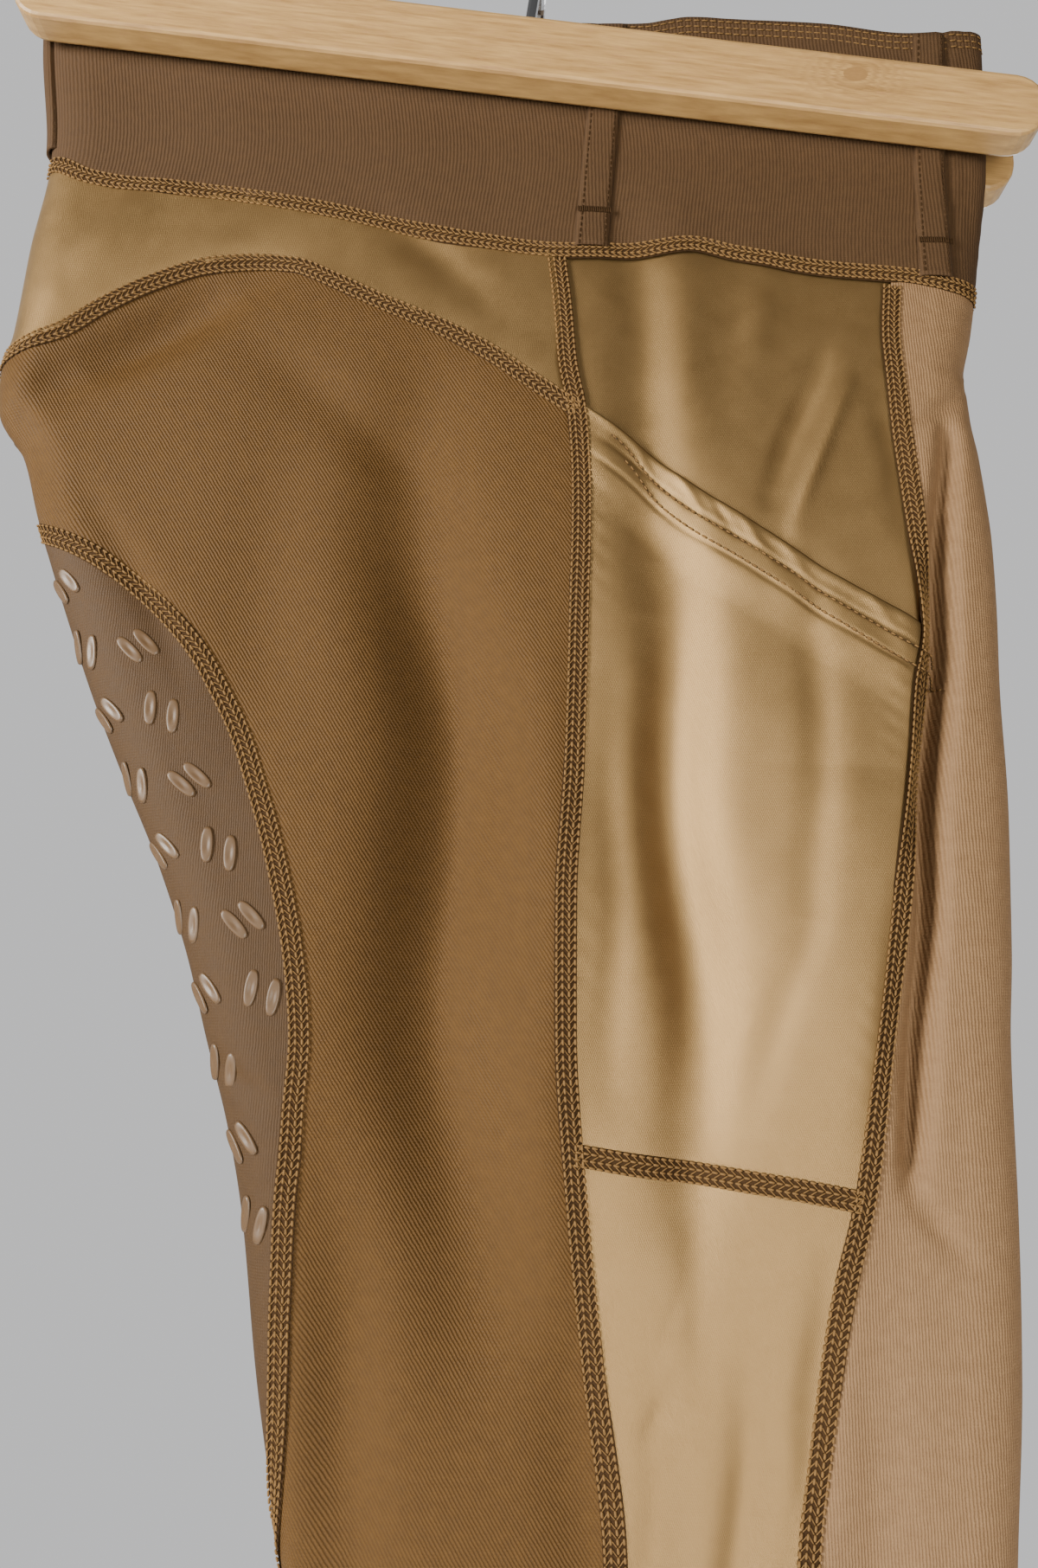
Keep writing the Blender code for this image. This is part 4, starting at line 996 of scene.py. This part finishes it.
def dress(finishes):
    """Every piece of cloth with its seams, on both sides."""
    band_cloth, coated, twill, rib, jersey, thread, seam_shade, silicone = finishes
    band = waistband(band_cloth)
    yoke = back_yoke(coated)
    band_extras, yoke_extras = [], []
    for side, label in SIDES:
        fine = side == NEAR
        back_places = lighter(back_grid(side), side)
        back, back_size = panel(f"back_leg_{label}", back_places, side, twill)
        grip_places = patch_grid(side)
        patch_places = lighter(grip_places, side)
        patch, patch_size = panel(f"grip_patch_{label}", patch_places, side, jersey)
        front_places = lighter(front_grid(side), side)
        front, front_size = panel(f"front_leg_{label}", front_places, side, rib)
        facing_grid = strip_grid(side, WAIST, lambda x: MOUTH(x) - 26.0, 60, 64)
        facing, facing_size = panel(
            f"side_backing_{label}", facing_grid, side, coated, lift=-LAYER_STEP
        )
        pocket_grid = strip_grid(side, MOUTH, FLOOR, 250 if fine else 130, 90 if fine else 60)
        pocket_x = cloth(pocket_grid[..., 0], pocket_grid[..., 1], side)[..., 0]
        pocket_q = pocket_grid[..., 0]
        ends = np.minimum(pocket_q - pocket_q[:, :1], pocket_q[:, -1:] - pocket_q)
        hem = hem_lift(MOUTH(pocket_x) - pocket_grid[..., 1], ends, pocket_x)
        pocket, pocket_size = panel(f"pocket_{label}", pocket_grid, side, coated, lift=hem)
        lower_grid = lighter(strip_grid(side, FLOOR, lambda x: ANKLE_Z + 0.0 * x, 240, 44), side)
        lower, lower_size = panel(f"side_lower_{label}", lower_grid, side, coated)

        across = across_at(-160.0, side)
        q = np.linspace(0.5, float(across) - 3.0, 260)
        waist = np.stack([q, seam_height(WAIST, q, side)], axis=1)
        q = np.linspace(0.5, float(outer_q(SIDE_BACK(-231.0), -231.0, side)), 160)
        yoke_line = np.stack([q, seam_height(YOKE, q, side)], axis=1)
        floor_x = np.linspace(SIDE_BACK(-466.0), SIDE_FRONT(-478.0), 60)
        floor_line = np.stack([outer_q(floor_x, FLOOR(floor_x), side), FLOOR(floor_x)], axis=1)
        mouth_x = np.linspace(float(SIDE_BACK(-228.0)) + 2.0, float(SIDE_FRONT(-300.0)) - 2.0, 60)
        mouth_line = np.stack([outer_q(mouth_x, MOUTH(mouth_x), side), MOUTH(mouth_x)], axis=1)
        band_extras += flatlock(f"waist_seam_{label}", waist, side, thread, seam_shade, fine)
        yoke_extras += flatlock(f"yoke_seam_{label}", yoke_line, side, thread, seam_shade, fine)
        back_line = side_seam_line(SIDE_BACK, -170.0, side)
        front_line = side_seam_line(SIDE_FRONT, -180.0, side)
        back_extras = flatlock(f"side_back_seam_{label}", back_line, side, thread, seam_shade, fine)
        front_extras = flatlock(f"side_front_seam_{label}", front_line, side, thread, seam_shade, fine)
        patch_line = patch_edge(300)
        patch_extras = flatlock(f"grip_seam_{label}", patch_line[12:250], side, thread, seam_shade, fine)
        patch_extras.append(grip_print(side, label, grip_places, silicone))
        pocket_extras = flatlock(f"pocket_floor_seam_{label}", floor_line, side, thread, seam_shade, fine)
        for k, drop in enumerate(MOUTH_ROWS):
            lowered = mouth_line - np.array([0.0, drop + STITCH_DROP])
            # Each hem row has a dark strip under its thread: painted shade of the needle holes and the
            # stitch groove.
            for kind, finish, rise, length in (
                ("hole_shade", seam_shade, 0.05, MOUTH_PITCH),
                ("stitch", thread, 0.3, 1.7),
            ):
                row_name = f"mouth_{kind}_{label}_{k}"
                lift = HEM_RISE + rise
                made = topstitch(row_name, lowered, side, (0.0,), finish, lift, length, MOUTH_PITCH)
                pocket_extras.append(made)

        declare(back, *back_size, band, back_extras)
        declare(patch, *patch_size, back, patch_extras)
        declare(front, *front_size, band, front_extras)
        declare(facing, *facing_size, band)
        declare(pocket, *pocket_size, facing, pocket_extras)
        declare(lower, *lower_size, pocket)
    for node, x_bottom, x_top, side in LOOPS:
        centres = loop_centres(x_bottom, x_top)
        made = strap(node, centres, side, band_cloth)
        q = outer_q(centres[:, 0], centres[:, 1], side)
        line = np.stack([q, centres[:, 1]], axis=1)
        # The loop's stitches and bartack use the near-black material of the painted seam shade.
        extras = [topstitch(f"{node}_stitch", line, side, (-4.2, 4.2), seam_shade, 1.5, 1.8, 2.5)]
        tack_x = x_bottom + (x_top - x_bottom) * 0.16
        extras.append(bartack(f"{node}_tack", tack_x, float(WAIST(tack_x)) + 16.0, side, seam_shade))
        declare(made, (LOOP_WIDTH * MM, 0.101), None, band, extras)
    declare(back_loop(band_cloth), (0.018, 0.088), None, band)
    for side, label in SIDES:
        q = np.linspace(1.0, float(across_at(-60.0, side)) - 1.0, 260)
        top = np.stack([q, seam_height(BAND_TOP, q, side, -60.0) - 4.0], axis=1)
        offsets = (-2.4, 0.0, 2.4) if side == NEAR else (0.0,)
        made = topstitch(f"band_top_stitch_{label}", top, side, offsets, thread, 0.15, 2.6, 2.9)
        band_extras.append(made)


def repaint(node, finish):
    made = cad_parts[node]
    made.data.materials.clear()
    made.data.materials.append(finish)


def area_light(name, place, aim, size, power, colour=(1.0, 1.0, 1.0)):
    light = bpy.data.lights.new(name, "AREA")
    light.shape = "RECTANGLE"
    light.size, light.size_y = size
    light.energy = power
    light.color = colour
    made = bpy.data.objects.new(name, light)
    made.location = place
    from_to = [aim[k] - place[k] for k in range(3)]
    made.rotation_euler = Vector(from_to).to_track_quat("-Z", "Y").to_euler()
    bpy.context.scene.collection.objects.link(made)


def studio():
    """A pale floor, a world pale behind and dim in front, and soft lights left, low in front and behind."""
    bpy.ops.mesh.primitive_plane_add(size=2.2, location=(0.0, 0.0, -1.25))
    floor = bpy.context.active_object
    floor.name = "floor"
    pale = Nodes("pale_floor")
    pale.look(Base_Color=(0.78, 0.78, 0.77, 1.0), Roughness=0.9)
    floor.data.materials.append(pale.material)
    world = bpy.data.worlds.new("studio")
    world.use_nodes = True
    tree = world.node_tree
    background = tree.nodes["Background"]
    background.inputs[0].default_value = (0.90, 0.90, 0.91, 1.0)
    spots = tree.nodes.new("ShaderNodeTexCoord")
    parts = tree.nodes.new("ShaderNodeSeparateXYZ")
    level = tree.nodes.new("ShaderNodeMapRange")
    level.inputs["From Min"].default_value = 0.1
    level.inputs["From Max"].default_value = 0.6
    level.inputs["To Min"].default_value = WORLD_FRONT
    level.inputs["To Max"].default_value = WORLD_BEHIND
    tree.links.new(spots.outputs["Generated"], parts.inputs[0])
    tree.links.new(parts.outputs["Y"], level.inputs["Value"])
    tree.links.new(level.outputs[0], background.inputs[1])
    bpy.context.scene.world = world
    aim = (0.0, 0.0, -0.40)
    area_light("key", (-1.18, -0.82, -0.15), aim, (0.4, 0.8), 50.0, (1.0, 0.97, 0.92))
    area_light("front", (0.40, -1.5, -0.92), (0.03, 0.0, -0.45), (0.62, 1.0), 30.0, (1.0, 0.96, 0.88))
    area_light("back_light", (0.3, 1.6, 0.3), aim, (1.4, 1.4), 30.0)


def camera():
    lens = bpy.data.cameras.new("photo")
    lens.lens = SIGHT_LENS
    lens.sensor_width = 36.0
    lens.clip_start = 0.01
    made = bpy.data.objects.new("photo", lens)
    made.location = (SIGHT_X * MM, -SIGHT_DISTANCE * MM, SIGHT_Z * MM)
    made.rotation_euler = (math.pi / 2 + SIGHT_UP, 0.0, 0.0)
    bpy.context.scene.collection.objects.link(made)
    bpy.context.scene.camera = made


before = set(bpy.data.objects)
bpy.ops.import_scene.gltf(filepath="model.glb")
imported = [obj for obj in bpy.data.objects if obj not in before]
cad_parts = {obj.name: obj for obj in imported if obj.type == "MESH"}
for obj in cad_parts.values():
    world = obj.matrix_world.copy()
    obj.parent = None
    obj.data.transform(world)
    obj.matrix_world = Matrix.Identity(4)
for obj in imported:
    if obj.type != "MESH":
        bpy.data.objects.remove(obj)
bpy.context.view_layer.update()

dress((
    cloth_finish("band_rib", (0.040, 0.019, 0.006), (0.088, 0.045, 0.016), 0.8, 0.125, 0.5, 0.25, 0.12),
    cloth_finish(
        "coated", (0.24, 0.143, 0.050), (0.34, 0.215, 0.085), 0.42, 0.055, 0.10, 0.4, 0.0,
        slant=0.35, gloss=1.0, mottle=1.2, metal=0.78,
    ),
    cloth_finish(
        "twill", (0.056, 0.026, 0.005), (0.122, 0.060, 0.013), 0.62, 0.115, 0.7, 0.25, 0.10,
        slant=0.62, gloss=0.22,
    ),
    cloth_finish("front_rib", (0.145, 0.077, 0.031), (0.300, 0.182, 0.090), 0.7, 0.088, 0.55, 0.3, 0.2),
    cloth_finish("grip_base", (0.042, 0.020, 0.005), (0.080, 0.040, 0.011), 0.65, 0.07, 0.3, 0.35, 0.05),
    thread_finish("thread", (0.215, 0.120, 0.042), 0.7),
    # Near-black seam material: painted shade between stitches and in needle holes; it also colours the belt
    # loops' stitches and bartacks.
    thread_finish("painted_seam_shade", (0.045, 0.022, 0.007), 0.85),
    silicone_finish(),
))
beech = wood_finish()
for bar in ("clamp_bar_front", "clamp_bar_back"):
    repaint(bar, beech)
steel = steel_finish()
for wire in ("hanger_yoke", "hanger_hook"):
    repaint(wire, steel)
studio()
camera()
